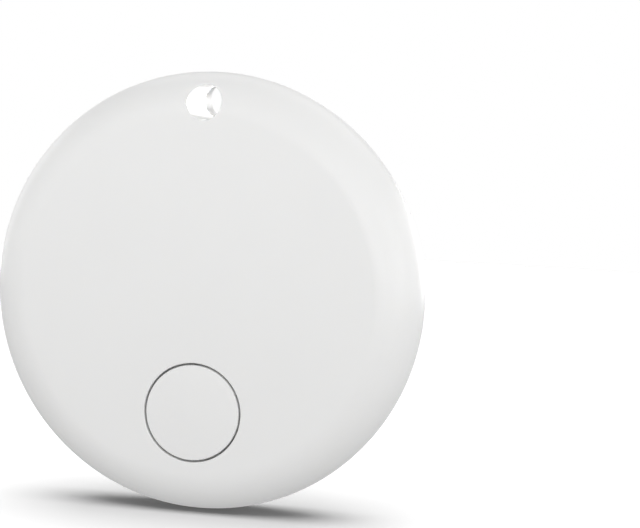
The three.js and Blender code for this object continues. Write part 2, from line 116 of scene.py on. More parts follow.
@dataclass(frozen=True)
class Layout:
    """Places that several sub-assemblies share, in millimetres.

    Attributes:
        axis: a point on the axis of the disc.
        hole: a point on the axis of the key ring hole.
        radius: outer radius of the case.
        front: y of the front face.
        rear: y of the rear face.
        seam: y of the front shell's parting face.
        rim_width: how far the rounded rim reaches in from the edge.
        wall: thickness of the front shell.
        cover_wall: thickness of the rear cover.
        seam_gap: gap between the two shells.
        hole_radius: radius of the key ring hole.
        tube_radius: outer radius of the tube round the key ring hole.
        corner_angle: angle of the screws and the pin above and below the horizontal, in degrees.
        corner_radius: how far the screws and the locating pin stand from the disc's axis.
        tube_gap: gap round the key ring tube where it passes through a plate.
        screw_hole: radius of the holes that the screws pass through.
        pin_hole: radius of the hole that the locating pin passes through.
        around: flats round a piece as wide as the case.
    """

    axis: Vector
    hole: Vector
    radius: float
    front: float
    rear: float
    seam: float
    rim_width: float = 3.6
    wall: float = 1.2
    cover_wall: float = 0.8
    seam_gap: float = 0.12
    hole_radius: float = 1.5
    tube_radius: float = 2.4
    corner_angle: float = 35.0
    corner_radius: float = 14.4
    tube_gap: float = 0.25
    screw_hole: float = 0.7
    pin_hole: float = 0.75
    around: int = 256

    @classmethod
    def from_frame(cls) -> "Layout":
        """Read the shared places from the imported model.

        Returns:
            The layout of the case.
        """
        shell, cover = Extent.of("front_shell"), Extent.of("rear_cover")
        return cls(
            axis=Vector((0, 0, shell.centre.z)),
            hole=Vector((0, 0, 0)),
            radius=shell.size.x / 2,
            front=shell.low.y,
            rear=cover.high.y,
            seam=shell.high.y,
        )

    @property
    def rim_centre(self) -> float:
        """Radius at which the flat faces end and the rim begins."""
        return self.radius - self.rim_width

    @property
    def depth(self) -> float:
        """Half the thickness of the case, which the rim rounds from face to face."""
        return (self.rear - self.front) / 2

    @property
    def inside_front(self) -> float:
        """Where the inside of the front wall lies."""
        return self.front + self.wall

    @property
    def inside_rear(self) -> float:
        """Where the inside of the rear wall lies."""
        return self.rear - self.cover_wall

    @property
    def bore(self) -> float:
        """Inner radius of the front shell behind its rim."""
        return self.radius - self.wall

    def corner(self, degrees: float) -> Vector:
        """Place of a screw or the pin at an angle round the disc."""
        angle = math.radians(degrees)
        reach = Vector((math.cos(angle), 0, math.sin(angle))) * self.corner_radius
        return self.axis + reach

    @property
    def screws(self) -> list[Vector]:
        """Places of the three screws."""
        return [self.corner(a) for a in (self.corner_angle, 180 - self.corner_angle, 180 + self.corner_angle)]

    @property
    def pin(self) -> Vector:
        """Place of the locating pin."""
        return self.corner(-self.corner_angle)

    def drill(self, plate: Solid, start: float, end: float) -> None:
        """Cut the holes for the key ring tube, the screws and the pin.

        Args:
            plate: the solid to drill.
            start: y of one end of the holes.
            end: y of the other end.
        """
        change(plate, rod(self.tube_radius + self.tube_gap, start, end, self.hole, 96))
        for place in self.screws:
            change(plate, rod(self.screw_hole, start, end, place))
        change(plate, rod(self.pin_hole, start, end, self.pin))

    def rim(self, wall: float, start: float, end: float, steps: int) -> list[Point]:
        """Points of the rim's elliptic section, or of its inside.

        Args:
            wall: distance in from the outer surface.
            start: first angle in degrees, where -90 is the front face and 90 the rear face.
            end: last angle in degrees.
            steps: number of equal steps in angle.

        Returns:
            Points from start to end.
        """
        angles = [math.radians(start + (end - start) * i / steps) for i in range(steps + 1)]
        width, depth = self.rim_width - wall, self.depth - wall
        return [(self.rim_centre + width * math.cos(a), depth * math.sin(a)) for a in angles]

    def rim_angle(self, y: float, wall: float = 0.0) -> float:
        """Angle in degrees at which the rim, or its inside, reaches a given y."""
        return math.degrees(math.asin(y / (self.depth - wall)))

    def within(self, wall: float, start: float, end: float) -> Solid:
        """Everything between two depths that lies inside the case.

        Args:
            wall: distance in from the outer surface.
            start: y of one end.
            end: y of the other end.

        Returns:
            The closed solid.
        """
        section = self.rim(wall, self.rim_angle(start, wall), self.rim_angle(end, wall), 24)
        return turned([(0, start), *section, (0, end)], self.axis, self.around)

    def surface(self, x: float, z: float) -> float:
        """Distance of the outer surface from the middle plane.

        Args:
            x: place across the disc.
            z: height, in the frame's axes.

        Returns:
            The distance, the same in front and behind.
        """
        beyond = math.hypot(x - self.axis.x, z - self.axis.z) - self.rim_centre
        share = min(max(beyond, 0.0) / self.rim_width, 1.0)
        return self.depth * math.sqrt(1 - share * share)


# ---- Shaping ----


class Cut(Enum):
    """How one solid changes another."""

    REMOVE = "DIFFERENCE"
    JOIN = "UNION"
    KEEP = "INTERSECT"


@dataclass(frozen=True)
class Corner:
    """One corner of an outline.

    Attributes:
        across: distance from the axis, or along the outline's first direction.
        y: place along the second direction.
        fillet: radius of the rounding, or 0 for a sharp corner.
    """

    across: float
    y: float
    fillet: float = 0.0


def plain(points: Sequence[Point]) -> list[Corner]:
    """Turn points into sharp corners."""
    return [Corner(*point) for point in points]


def rounded(corners: Sequence[Corner], steps: int = 8) -> list[Point]:
    """Round the corners of an outline.

    Args:
        corners: the outline's corners in order. In an open outline the two ends are sharp.
        steps: number of flats in each rounding.

    Returns:
        The outline's points, without a repeat of the first.
    """
    points: list[Point] = []
    for i, corner in enumerate(corners):
        here = Vector((corner.across, corner.y))
        if not corner.fillet:
            points.append((here.x, here.y))
            continue
        before, after = corners[i - 1], corners[(i + 1) % len(corners)]
        back = (Vector((before.across, before.y)) - here).normalized()
        ahead = (Vector((after.across, after.y)) - here).normalized()
        half = back.angle(ahead) / 2
        centre = here + (back + ahead).normalized() * (corner.fillet / math.sin(half))
        start = here + back * (corner.fillet / math.tan(half)) - centre
        sweep = start.angle_signed(here + ahead * (corner.fillet / math.tan(half)) - centre)
        for k in range(steps + 1):
            point = centre + Matrix.Rotation(-sweep * k / steps, 2) @ start
            points.append((point.x, point.y))
    return points


def solid_of(mesh: bmesh.types.BMesh, name: str) -> Solid:
    """Turn a bmesh into a linked object, still in millimetres.

    Args:
        mesh: the shape, which is freed.
        name: name of the object.

    Returns:
        The new object, at the origin.
    """
    bmesh.ops.remove_doubles(mesh, verts=mesh.verts, dist=MERGE)
    bmesh.ops.recalc_face_normals(mesh, faces=mesh.faces)
    data = bpy.data.meshes.new(name)
    mesh.to_mesh(data)
    mesh.free()
    made = bpy.data.objects.new(name, data)
    bpy.context.scene.collection.objects.link(made)
    return made


def turned(outline: Sequence[Point], axis: Vector, steps: int) -> Solid:
    """Spin a closed outline round an axis along Y.

    Args:
        outline: points of the section. A first and last point on the axis close the solid there.
        axis: a point on the axis.
        steps: number of flats round the axis.

    Returns:
        The closed solid.
    """
    mesh = bmesh.new()
    verts = [mesh.verts.new((axis.x + radius, y, axis.z)) for radius, y in outline]
    ends_on_axis = outline[0][0] < MERGE and outline[-1][0] < MERGE
    pairs = list(zip(verts, verts[1:])) + ([] if ends_on_axis else [(verts[-1], verts[0])])
    edges = [mesh.edges.new(pair) for pair in pairs]
    bmesh.ops.spin(
        mesh, geom=verts + edges, cent=axis, axis=(0, 1, 0), angle=math.tau, steps=steps, use_merge=True
    )
    return solid_of(mesh, "turned")


def rod(radius: float, start: float, end: float, at: Vector, steps: int = 48) -> Solid:
    """Make a round bar along Y.

    Args:
        radius: radius of the bar.
        start: y of one end.
        end: y of the other end.
        at: a point on its axis.
        steps: number of flats.

    Returns:
        The closed solid.
    """
    return turned([(0, start), (radius, start), (radius, end), (0, end)], at, steps)


def block(low: Sequence[float], high: Sequence[float], edge: float = 0.0, steps: int = 2) -> Solid:
    """Make a box between two corners.

    Args:
        low: lowest corner.
        high: highest corner.
        edge: width of the rounding along every edge.
        steps: flats in the rounding.

    Returns:
        The closed solid.
    """
    mesh = bmesh.new()
    first, last = Vector(low), Vector(high)
    place = Matrix.Translation((first + last) / 2) @ Matrix.Diagonal((*(last - first), 1))
    bmesh.ops.create_cube(mesh, size=1.0, matrix=place)
    if edge:
        bmesh.ops.bevel(
            mesh, geom=mesh.edges, offset=edge, affect="EDGES", segments=steps, profile=0.5, material=-1
        )
    return solid_of(mesh, "block")


def extruded(outline: Sequence[Point], start: float, end: float, at: Vector) -> Solid:
    """Extrude a closed (z, y) outline along X.

    Args:
        outline: the outline's points, measured from the place.
        start: x of one side, measured from the place.
        end: x of the other side.
        at: the place. Its y isn't used.

    Returns:
        The closed solid.
    """
    mesh = bmesh.new()
    side = mesh.faces.new([mesh.verts.new((at.x + start, y, at.z + along)) for along, y in outline])
    grown = bmesh.ops.extrude_face_region(mesh, geom=[side])["geom"]
    moved = [part for part in grown if isinstance(part, bmesh.types.BMVert)]
    bmesh.ops.translate(mesh, vec=(end - start, 0, 0), verts=moved)
    return solid_of(mesh, "extruded")


def sheet(path: Sequence[Point], thickness: float) -> list[Point]:
    """Give an open path the thickness of sheet metal.

    Args:
        path: points along the middle of the sheet.
        thickness: thickness of the sheet.

    Returns:
        The closed outline round the sheet.
    """
    points = [Vector(point) for point in path]
    sides: tuple[list[Point], list[Point]] = ([], [])
    for i, here in enumerate(points):
        before, after = points[max(i - 1, 0)], points[min(i + 1, len(points) - 1)]
        along = ((here - before).normalized() + (after - here).normalized()).normalized()
        across = Vector((-along.y, along.x)) * (thickness / 2)
        sides[0].append(tuple(here + across))
        sides[1].append(tuple(here - across))
    return sides[0] + sides[1][::-1]


def change(body: Solid, tool: Solid, how: Cut = Cut.REMOVE) -> Solid:
    """Cut a tool out of a body or join it on. The tool is used up.

    Args:
        body: the solid to change.
        tool: the solid to cut or join.
        how: whether to remove, join or keep what both hold.

    Returns:
        The changed body.
    """
    modifier = body.modifiers.new("change", "BOOLEAN")
    modifier.operation = how.value
    modifier.solver = "EXACT"
    modifier.object = tool
    graph = bpy.context.evaluated_depsgraph_get()
    made = bpy.data.meshes.new_from_object(body.evaluated_get(graph))
    body.modifiers.clear()
    body.data = made
    bpy.data.objects.remove(tool)
    return body


def soften(body: Solid, width: float, steps: int = 2, angle: float = 40.0) -> Solid:
    """Round every edge that is sharper than an angle.

    Args:
        body: the solid to change.
        width: width of the rounding.
        steps: number of flats in it.
        angle: smallest angle in degrees between two faces that makes an edge.

    Returns:
        The changed body.
    """
    mesh = bmesh.new()
    mesh.from_mesh(body.data)
    bmesh.ops.remove_doubles(mesh, verts=mesh.verts, dist=MERGE)
    bmesh.ops.dissolve_limit(mesh, angle_limit=math.radians(1), verts=mesh.verts, edges=mesh.edges)
    limit = math.radians(angle)
    sharp = [e for e in mesh.edges if len(e.link_faces) == 2 and e.calc_face_angle() > limit]
    bmesh.ops.bevel(
        mesh, geom=sharp, offset=width, affect="EDGES", segments=steps, profile=0.5, material=-1,
        clamp_overlap=True,
    )
    mesh.to_mesh(body.data)
    mesh.free()
    return body


def mouth_cutter(
    at: Vector,
    radius: float,
    fillet: float,
    mouth: float,
    end: float,
    surface: Callable[[float, float], float],
) -> Solid:
    """Make a tool that cuts a round hole whose mouth is rounded into a curved surface.

    Args:
        at: a point on the hole's axis.
        radius: radius of the hole.
        fillet: radius of the rounding at the mouth.
        mouth: y of the surface where it is flat. Its sign says which side the mouth is on.
        end: y at which the tool ends inside.
        surface: distance of the surface from the middle plane at (x, z).

    Returns:
        The cutting tool.
    """
    side = math.copysign(1.0, mouth)
    steps, last, proud, reach = 6, 74.0, 0.02, 1.5  # the rounding stops at 74 degrees and goes on straight
    angles = [math.radians(last * i / steps) for i in range(steps + 1)]
    arc = [(fillet * (1 - math.cos(a)), fillet * (1 - math.sin(a))) for a in angles]
    rounding = [(radius + out, mouth - side * sunk) for out, sunk in arc]
    rise = proud + fillet * (1 - math.sin(angles[-1]))
    lip = rounding[-1][0] + rise * math.tan(math.radians(last))
    outer = [(lip, mouth + side * proud), (lip, mouth + side * reach), (0, mouth + side * reach)]
    tool = turned([(0, end), (radius, end), *rounding, *outer], at, 120)
    for vert in tool.data.vertices:
        if abs(vert.co.y - mouth) < 2 * fillet:
            vert.co.y += side * surface(vert.co.x, vert.co.z) - mouth
    return tool


# ---- Finishes ----


def socket_of(sockets: Sequence[bpy.types.NodeSocket], identifier: str) -> bpy.types.NodeSocket:
    """Find the socket of a node by its identifier."""
    return next(socket for socket in sockets if socket.identifier == identifier)


class Graph:
    """Adds and links nodes in one node tree."""

    def __init__(self, tree: bpy.types.NodeTree) -> None:
        """Keep the tree that nodes are added to."""
        self.tree = tree

    def node(self, kind: str, **settings: object) -> bpy.types.Node:
        """Add a node.

        Args:
            kind: the node's type name.
            **settings: attributes of the node.

        Returns:
            The new node.
        """
        made = self.tree.nodes.new(kind)
        for name, value in settings.items():
            setattr(made, name, value)
        return made

    def link(self, source: bpy.types.NodeSocket, target: bpy.types.NodeSocket) -> None:
        """Link one socket to another."""
        self.tree.links.new(source, target)

    def place(self) -> bpy.types.NodeSocket:
        """Add Object coordinates."""
        return self.node("ShaderNodeTexCoord").outputs["Object"]

    def math(self, operation: str, *terms: "bpy.types.NodeSocket | float") -> bpy.types.NodeSocket:
        """Add a Math node.

        Args:
            operation: name of the operation.
            *terms: sockets or numbers, in the order of the node's inputs.

        Returns:
            The result's socket.
        """
        made = self.node("ShaderNodeMath", operation=operation)
        for target, term in zip(made.inputs, terms):
            if isinstance(term, bpy.types.NodeSocket):
                self.link(term, target)
            else:
                target.default_value = term
        return made.outputs[0]

    def noise(
        self, place: bpy.types.NodeSocket, scale: "bpy.types.NodeSocket | float", detail: float
    ) -> bpy.types.NodeSocket:
        """Add a noise texture.

        Args:
            place: coordinates.
            scale: cycles in a metre.
            detail: number of octaves.

        Returns:
            The noise value's socket.
        """
        made = self.node("ShaderNodeTexNoise")
        made.inputs["Detail"].default_value = detail
        self.link(place, made.inputs["Vector"])
        if isinstance(scale, bpy.types.NodeSocket):
            self.link(scale, made.inputs["Scale"])
        else:
            made.inputs["Scale"].default_value = scale
        return made.outputs["Fac"]

    def stretched(self, place: bpy.types.NodeSocket, scale: Sequence[float]) -> bpy.types.NodeSocket:
        """Scale coordinates by a different factor along each axis.

        Args:
            place: coordinates.
            scale: the three factors.

        Returns:
            The scaled coordinates' socket.
        """
        made = self.node("ShaderNodeMapping")
        made.inputs["Scale"].default_value = scale
        self.link(place, made.inputs["Vector"])
        return made.outputs["Vector"]

    def span(
        self, value: bpy.types.NodeSocket, low: float, high: float, start: float = 0.0, end: float = 1.0
    ) -> bpy.types.NodeSocket:
        """Map a varying value to a range.

        Args:
            value: the varying value.
            low: result at the start.
            high: result at the end.
            start: value that gives low.
            end: value that gives high.

        Returns:
            The mapped value's socket.
        """
        made = self.node("ShaderNodeMapRange")
        for name, number in (("From Min", start), ("From Max", end), ("To Min", low), ("To Max", high)):
            made.inputs[name].default_value = number
        self.link(value, made.inputs["Value"])
        return made.outputs["Result"]

    def blend(
        self,
        share: bpy.types.NodeSocket,
        first: "bpy.types.NodeSocket | Colour",
        second: "bpy.types.NodeSocket | Colour",
    ) -> bpy.types.NodeSocket:
        """Mix two colours by a varying share.

        Args:
            share: 0 for the first colour and 1 for the second.
            first: the first colour.
            second: the second colour.

        Returns:
            The mixed colour's socket.
        """
        made = self.node("ShaderNodeMix", data_type="RGBA")
        self.link(share, socket_of(made.inputs, "Factor_Float"))
        for identifier, colour in (("A_Color", first), ("B_Color", second)):
            target = socket_of(made.inputs, identifier)
            if isinstance(colour, bpy.types.NodeSocket):
                self.link(colour, target)
            else:
                target.default_value = (*colour, 1)
        return socket_of(made.outputs, "Result_Color")

    def effect(self, tree: bpy.types.NodeTree, **values: float) -> bpy.types.Node:
        """Place a shared effect.

        Args:
            tree: the effect's node group.
            **values: its inputs, with _ for a space.

        Returns:
            The group node.
        """
        made = self.node("ShaderNodeGroup", node_tree=tree)
        for name, value in values.items():
            made.inputs[name.replace("_", " ")].default_value = value
        return made

    def bump(self, height: bpy.types.NodeSocket, depth: float, shader: bpy.types.Node) -> None:
        """Raise a surface by a varying height.

        Args:
            height: the height, from 0 to 1.
            depth: what a height of 1 is, in metres.
            shader: the shader whose normal it feeds.
        """
        made = self.node("ShaderNodeBump")
        made.inputs["Distance"].default_value = depth
        self.link(height, made.inputs["Height"])
        self.link(made.outputs["Normal"], shader.inputs["Normal"])


def shared(name: str, inputs: Sequence[str], outputs: Sequence[str], wire: Callable) -> bpy.types.NodeTree:
    """Build a shared effect once.

    Args:
        name: the group's name.
        inputs: names of its inputs, all numbers.
        outputs: names of its outputs, all numbers.
        wire: function of (graph, inputs) that returns the outputs' sockets in order.

    Returns:
        The node group.
    """
    found = bpy.data.node_groups.get(name)
    if found is not None:
        return found
    tree = bpy.data.node_groups.new(name, "ShaderNodeTree")
    for title in inputs:
        tree.interface.new_socket(title, in_out="INPUT", socket_type="NodeSocketFloat")
    for title in outputs:
        tree.interface.new_socket(title, in_out="OUTPUT", socket_type="NodeSocketFloat")
    graph = Graph(tree)
    start, end = graph.node("NodeGroupInput"), graph.node("NodeGroupOutput")
    for source, title in zip(wire(graph, start.outputs), outputs):
        graph.link(source, end.inputs[title])
    return tree


def moulding() -> bpy.types.NodeTree:
    """Grain of a moulded surface: fine height, slow drift of tone, and patches of polish."""

    def wire(graph: Graph, given: bpy.types.NodeOutputs) -> list[bpy.types.NodeSocket]:
        """Wire the grain, the drift and the polish."""
        place = graph.place()
        fine = graph.noise(place, given["Scale"], 3)
        ripple = graph.noise(place, graph.math("MULTIPLY", given["Scale"], 0.12), 2)
        height = graph.math("ADD", graph.math("MULTIPLY", fine, 0.6), graph.math("MULTIPLY", ripple, 0.4))
        drift = graph.noise(place, graph.math("MULTIPLY", given["Scale"], 0.02), 3)
        patch = graph.noise(place, graph.math("MULTIPLY", given["Scale"], 0.05), 5)
        return [height, graph.span(drift, 0, 1, 0.3, 0.7), graph.span(patch, 0, 1, 0.35, 0.65)]

    return shared("moulding", ["Scale"], ["Height", "Drift", "Polish"], wire)


def handling() -> bpy.types.NodeTree:
    """Fine hairlines that handling leaves, and specks of dust."""

    def wire(graph: Graph, given: bpy.types.NodeOutputs) -> list[bpy.types.NodeSocket]:
        """Wire hairlines along two slants, and specks."""
        place = graph.place()
        lines = []
        for stretch in ((9000, 9000, 260), (300, 9000, 8000)):
            streak = graph.noise(graph.stretched(place, stretch), 1.0, 2)
            lines.append(graph.span(streak, 0, 1, 0.66, 0.72))
        hairline = graph.math("MULTIPLY", graph.math("MAXIMUM", *lines), given["Hairlines"])
        speck = graph.span(graph.noise(place, 5200, 1), 0, 1, 0.74, 0.78)
        return [hairline, graph.math("MULTIPLY", speck, given["Dust"])]

    return shared("handling", ["Hairlines", "Dust"], ["Hairline", "Speck"], wire)


def turning() -> bpy.types.NodeTree:
    """Concentric marks of a lathe or a press tool round an axis along Y."""

    def wire(graph: Graph, given: bpy.types.NodeOutputs) -> list[bpy.types.NodeSocket]:
        """Wire rings that depend on the distance from the axis."""
        split = graph.node("ShaderNodeSeparateXYZ")
        graph.link(graph.place(), split.inputs[0])
        across = graph.math("SUBTRACT", split.outputs["X"], given["Centre X"])
        up = graph.math("SUBTRACT", split.outputs["Z"], given["Centre Z"])
        squares = graph.math("ADD", graph.math("POWER", across, 2), graph.math("POWER", up, 2))
        radius = graph.math("SQRT", squares)
        rings = graph.node("ShaderNodeTexNoise", noise_dimensions="1D")
        rings.inputs["Scale"].default_value = 1.0
        rings.inputs["Detail"].default_value = 5
        graph.link(graph.math("DIVIDE", radius, given["Pitch"]), rings.inputs["W"])
        broad = graph.node("ShaderNodeTexNoise", noise_dimensions="1D")
        broad.inputs["Scale"].default_value = 0.08
        graph.link(graph.math("DIVIDE", radius, given["Pitch"]), broad.inputs["W"])
        return [rings.outputs["Fac"], graph.span(broad.outputs["Fac"], 0, 1, 0.3, 0.7)]

    return shared("turning", ["Centre X", "Centre Z", "Pitch"], ["Height", "Band"], wire)


DUST: Colour = (0.62, 0.6, 0.56)
SCUFF = 0.2  # how much rougher a full hairline is


@dataclass(frozen=True)
class Finish:
    """A surface that pieces are dressed in.

    Attributes:
        name: the material's name.
        colour: its mean colour, linear.
        roughness: its mean roughness.
        spread: how far the roughness wanders.
        shade: how far the tone wanders, as a share.
        grain: cycles of the finest grain in a metre.
        depth: height of the grain in metres.
        hairlines: strength of the fine scratches.
        dust: strength of the dust specks.
    """

    name: str
    colour: Colour
    roughness: float
    spread: float = 0.04
    shade: float = 0.03
    grain: float = 9000.0
    depth: float = 2e-6
    hairlines: float = 0.1
    dust: float = 0.0

    def material(self) -> bpy.types.Material:
        """Build the material, or give the one that was built before.

        Returns:
            The material.
        """
        found = bpy.data.materials.get(self.name)
        if found is not None:
            return found
        made = bpy.data.materials.new(self.name)
        made.use_nodes = True
        made.node_tree.nodes.clear()
        graph = Graph(made.node_tree)
        shader = graph.node("ShaderNodeBsdfPrincipled")
        output = graph.node("ShaderNodeOutputMaterial")
        graph.link(shader.outputs["BSDF"], output.inputs["Surface"])
        made.diffuse_color = (*self.colour, 1)
        self.dress(graph, shader)
        return made

    def tones(self) -> tuple[Colour, Colour]:
        """The darkest and the lightest tone of the colour."""
        darker = tuple(value * (1 - self.shade) for value in self.colour)
        lighter = tuple(min(value * (1 + self.shade), 1.0) for value in self.colour)
        return darker, lighter

    def dress(self, graph: Graph, shader: bpy.types.Node) -> None:
        """Wire the surface.

        Args:
            graph: the material's nodes.
            shader: the shader to feed.
        """
        grain = graph.effect(moulding(), Scale=self.grain)
        marks = graph.effect(handling(), Hairlines=self.hairlines, Dust=self.dust)
        tone = graph.blend(grain.outputs["Drift"], *self.tones())
        dusty = graph.blend(marks.outputs["Speck"], tone, DUST)
        graph.link(dusty, shader.inputs["Base Color"])
        least, most = self.roughness - self.spread, self.roughness + self.spread
        polish = graph.span(grain.outputs["Polish"], least, most)
        worn = graph.math("ADD", polish, graph.math("MULTIPLY", marks.outputs["Hairline"], SCUFF))
        graph.link(worn, shader.inputs["Roughness"])
        graph.bump(grain.outputs["Height"], self.depth, shader)


@dataclass(frozen=True)
class GlossPlastic(Finish):
    """White moulded plastic with a clear, slightly soft gloss.

    Attributes:
        ior: its index of refraction.
        glow: share of the light that soaks in.
        glow_depth: how deep that light reaches, in metres.
        glow_tint: how far each colour reaches, as a share of the depth.
    """

    ior: float = 1.5
    glow: float = 0.12
    glow_depth: float = 0.0004
    glow_tint: Colour = (1.0, 0.95, 0.85)

    def dress(self, graph: Graph, shader: bpy.types.Node) -> None:
        """Wire the surface, with light that soaks into it.

        Args:
            graph: the material's nodes.
            shader: the shader to feed.
        """
        super().dress(graph, shader)
        shader.inputs["IOR"].default_value = self.ior
        shader.inputs["Subsurface Weight"].default_value = self.glow
        shader.inputs["Subsurface Radius"].default_value = self.glow_tint
        shader.inputs["Subsurface Scale"].default_value = self.glow_depth


@dataclass(frozen=True)
class Metal(Finish):
    """Rolled or plated sheet, with a grain along one direction.

    Attributes:
        stretch: how the grain is scaled along each axis.
    """

    stretch: Colour = (1.0, 1.0, 0.06)

    def dress(self, graph: Graph, shader: bpy.types.Node) -> None:
        """Wire the metal and its rolled grain.

        Args:
            graph: the material's nodes.
            shader: the shader to feed.
        """
        super().dress(graph, shader)
        shader.inputs["Metallic"].default_value = 1.0
        self.rolled(graph, shader)

    def rolled(self, graph: Graph, shader: bpy.types.Node) -> None:
        """Stretch the grain's height along the direction of rolling."""
        streak = graph.noise(graph.stretched(graph.place(), self.stretch), self.grain, 4)
        graph.bump(streak, self.depth, shader)


@dataclass(frozen=True)
class TurnedMetal(Metal):
    """Metal with concentric marks round an axis along Y.

    Attributes:
        centre: a point on the axis, in millimetres.
        pitch: distance between marks, in metres.
    """

    centre: tuple[float, float] = (0.0, 0.0)
    pitch: float = 0.00004

    def rolled(self, graph: Graph, shader: bpy.types.Node) -> None:
        """Cut the marks round the axis.

        Args:
            graph: the material's nodes.
            shader: the shader to feed.
        """
        marks = graph.effect(
            turning(), Centre_X=self.centre[0] * MM, Centre_Z=self.centre[1] * MM, Pitch=self.pitch
        )
        graph.bump(marks.outputs["Height"], self.depth, shader)
        darker, lighter = self.tones()
        graph.link(graph.blend(marks.outputs["Band"], darker, lighter), shader.inputs["Base Color"])


@dataclass(frozen=True)
class Laminate(Finish):
    """Solder mask over copper tracks on glass laminate.

    Attributes:
        copper: the mask's colour over copper.
        core: colour of the bare edge of the laminate.
        edge: radius beyond which the bare edge shows, in millimetres.
        centre: height of the board's centre, in millimetres.
        pitch: distance between tracks, in metres.
        gap: share of the pitch between two tracks.
        bare: share of the board without a copper plane.
        relief: height of the copper under the mask, in metres.
    """

    copper: Colour = (0.03, 0.22, 0.09)
    core: Colour = (0.42, 0.37, 0.2)
    edge: float = 17.0
    centre: float = 0.0
    pitch: float = 0.0005
    gap: float = 0.55
    bare: float = 0.62
    relief: float = 0.00002

    def dress(self, graph: Graph, shader: bpy.types.Node) -> None:
        """Wire the tracks, the mask over them and the bare edge.

        Args:
            graph: the material's nodes.
            shader: the shader to feed.
        """
        super().dress(graph, shader)
        split = graph.node("ShaderNodeSeparateXYZ")
        graph.link(graph.place(), split.inputs[0])
        patch = graph.node("ShaderNodeTexVoronoi", distance="CHEBYCHEV")
        patch.inputs["Scale"].default_value = 0.12 / self.pitch
        graph.link(graph.place(), patch.inputs["Vector"])
        choice = graph.node("ShaderNodeSeparateColor")
        graph.link(patch.outputs["Color"], choice.inputs[0])
        tracks = []
        for axis in ("X", "Z"):
            phase = graph.math("FRACT", graph.math("DIVIDE", split.outputs[axis], self.pitch))
            tracks.append(graph.math("GREATER_THAN", phase, self.gap))
        upright = graph.math("GREATER_THAN", choice.outputs["Red"], 0.5)
        across = graph.math("SUBTRACT", 1.0, upright)
        track = graph.math(
            "ADD", graph.math("MULTIPLY", tracks[0], upright), graph.math("MULTIPLY", tracks[1], across)
        )
        plane = graph.math("GREATER_THAN", choice.outputs["Green"], self.bare)
        copper = graph.math("MAXIMUM", track, plane)
        mask = graph.blend(copper, self.colour, self.copper)
        radius = graph.math(
            "SQRT",
            graph.math(
                "ADD",
                graph.math("POWER", split.outputs["X"], 2),
                graph.math("POWER", graph.math("SUBTRACT", split.outputs["Z"], self.centre * MM), 2),
            ),
        )
        bare = graph.math("GREATER_THAN", radius, self.edge * MM)
        graph.link(graph.blend(bare, mask, self.core), shader.inputs["Base Color"])
        graph.bump(copper, self.relief, shader)


WHITE: Colour = (0.83, 0.83, 0.825)
EVEN: Colour = (1, 1, 1)  # a grain that runs in no direction


@dataclass(frozen=True)
class Palette:
    """Every finish of the tag, named for what it dresses."""

    case: Finish = GlossPlastic("case_white", WHITE, 0.3, 0.012, 0.004, 9000, 1.0e-6, 0.03)
    button: Finish = GlossPlastic("button_white", WHITE, 0.3, 0.015, 0.004, 11000, 1.0e-6, 0.05)
    frame: Finish = Finish("frame_black", (0.03, 0.032, 0.035), 0.55, 0.06, 0.12, 12000, 8e-6, 0.3, 0.35)
    seal: Finish = Finish("seal_rubber", (0.05, 0.16, 0.33), 0.5, 0.07, 0.1, 8000, 5e-6, 0.0, 0.45)
    resin: Finish = Finish("chip_resin", (0.02, 0.02, 0.022), 0.5, 0.06, 0.15, 30000, 6e-6)
    ferrite: Finish = Finish("ferrite", (0.03, 0.03, 0.03), 0.6, 0.08, 0.2, 24000, 1e-5)
    switch_base: Finish = Finish("switch_base", (0.03, 0.03, 0.03), 0.45, 0.06, 0.12, 20000, 4e-6)
    plunger: Finish = Finish("plunger_nylon", (0.65, 0.65, 0.62), 0.45, 0.05, 0.04, 16000, 3e-6)
    gasket: Finish = Finish("gasket_nylon", (0.7, 0.7, 0.66), 0.45, 0.05, 0.05, 14000, 4e-6)
    core: Finish = Finish("cell_powder", (0.04, 0.04, 0.042), 0.85, 0.05, 0.3, 20000, 2e-5)
    piezo: Finish = Finish("piezo_ceramic", (0.72, 0.68, 0.55), 0.55, 0.08, 0.06, 16000, 6e-6)
    ceramic: Finish = Finish("white_ceramic", (0.75, 0.73, 0.68), 0.5, 0.07, 0.05, 20000, 5e-6)
    capacitor: Finish = Finish("brown_ceramic", (0.36, 0.22, 0.12), 0.5, 0.08, 0.12, 30000, 5e-6)
    film: Finish = Finish("amber_film", (0.5, 0.3, 0.07), 0.35, 0.06, 0.1, 6000, 8e-6)
    lid: Finish = Metal("lid_nickel", (0.62, 0.6, 0.55), 0.3, 0.06, 0.04, 16000, 2e-6, 0.4)
    contact: Finish = Metal("contact_nickel", (0.6, 0.57, 0.5), 0.28, 0.06, 0.05, 12000, 2e-6, 0.5)
    screw: Finish = Metal("screw_steel", (0.4, 0.41, 0.43), 0.32, 0.07, 0.08, 14000, 3e-6, 0.5)
    switch_sheet: Finish = Metal("switch_steel", (0.5, 0.5, 0.5), 0.3, 0.06, 0.05, 14000, 2e-6, 0.4)
    solder: Finish = Metal("tinned_end", (0.66, 0.66, 0.64), 0.35, 0.08, 0.06, 20000, 4e-6, 0.0, 0.0, EVEN)
    silver: Finish = Metal(
        "silver_electrode", (0.7, 0.69, 0.66), 0.42, 0.06, 0.05, 16000, 4e-6, 0.0, 0.0, EVEN
    )


@dataclass(frozen=True)
class Piece:
    """How a finished solid joins the model.

    Attributes:
        name: the piece's name.
        body: the body it moves with.
        slot: name of a material slot; not used.
        finish: what it is dressed in.
        stands_for: the CAD nodes it is shown instead of.
        smooth: edges that turn more than this many degrees stay sharp.
    """

    name: str
    body: Body
    slot: str
    finish: Finish
    stands_for: tuple[str, ...] = ()
    smooth: float = 34.0


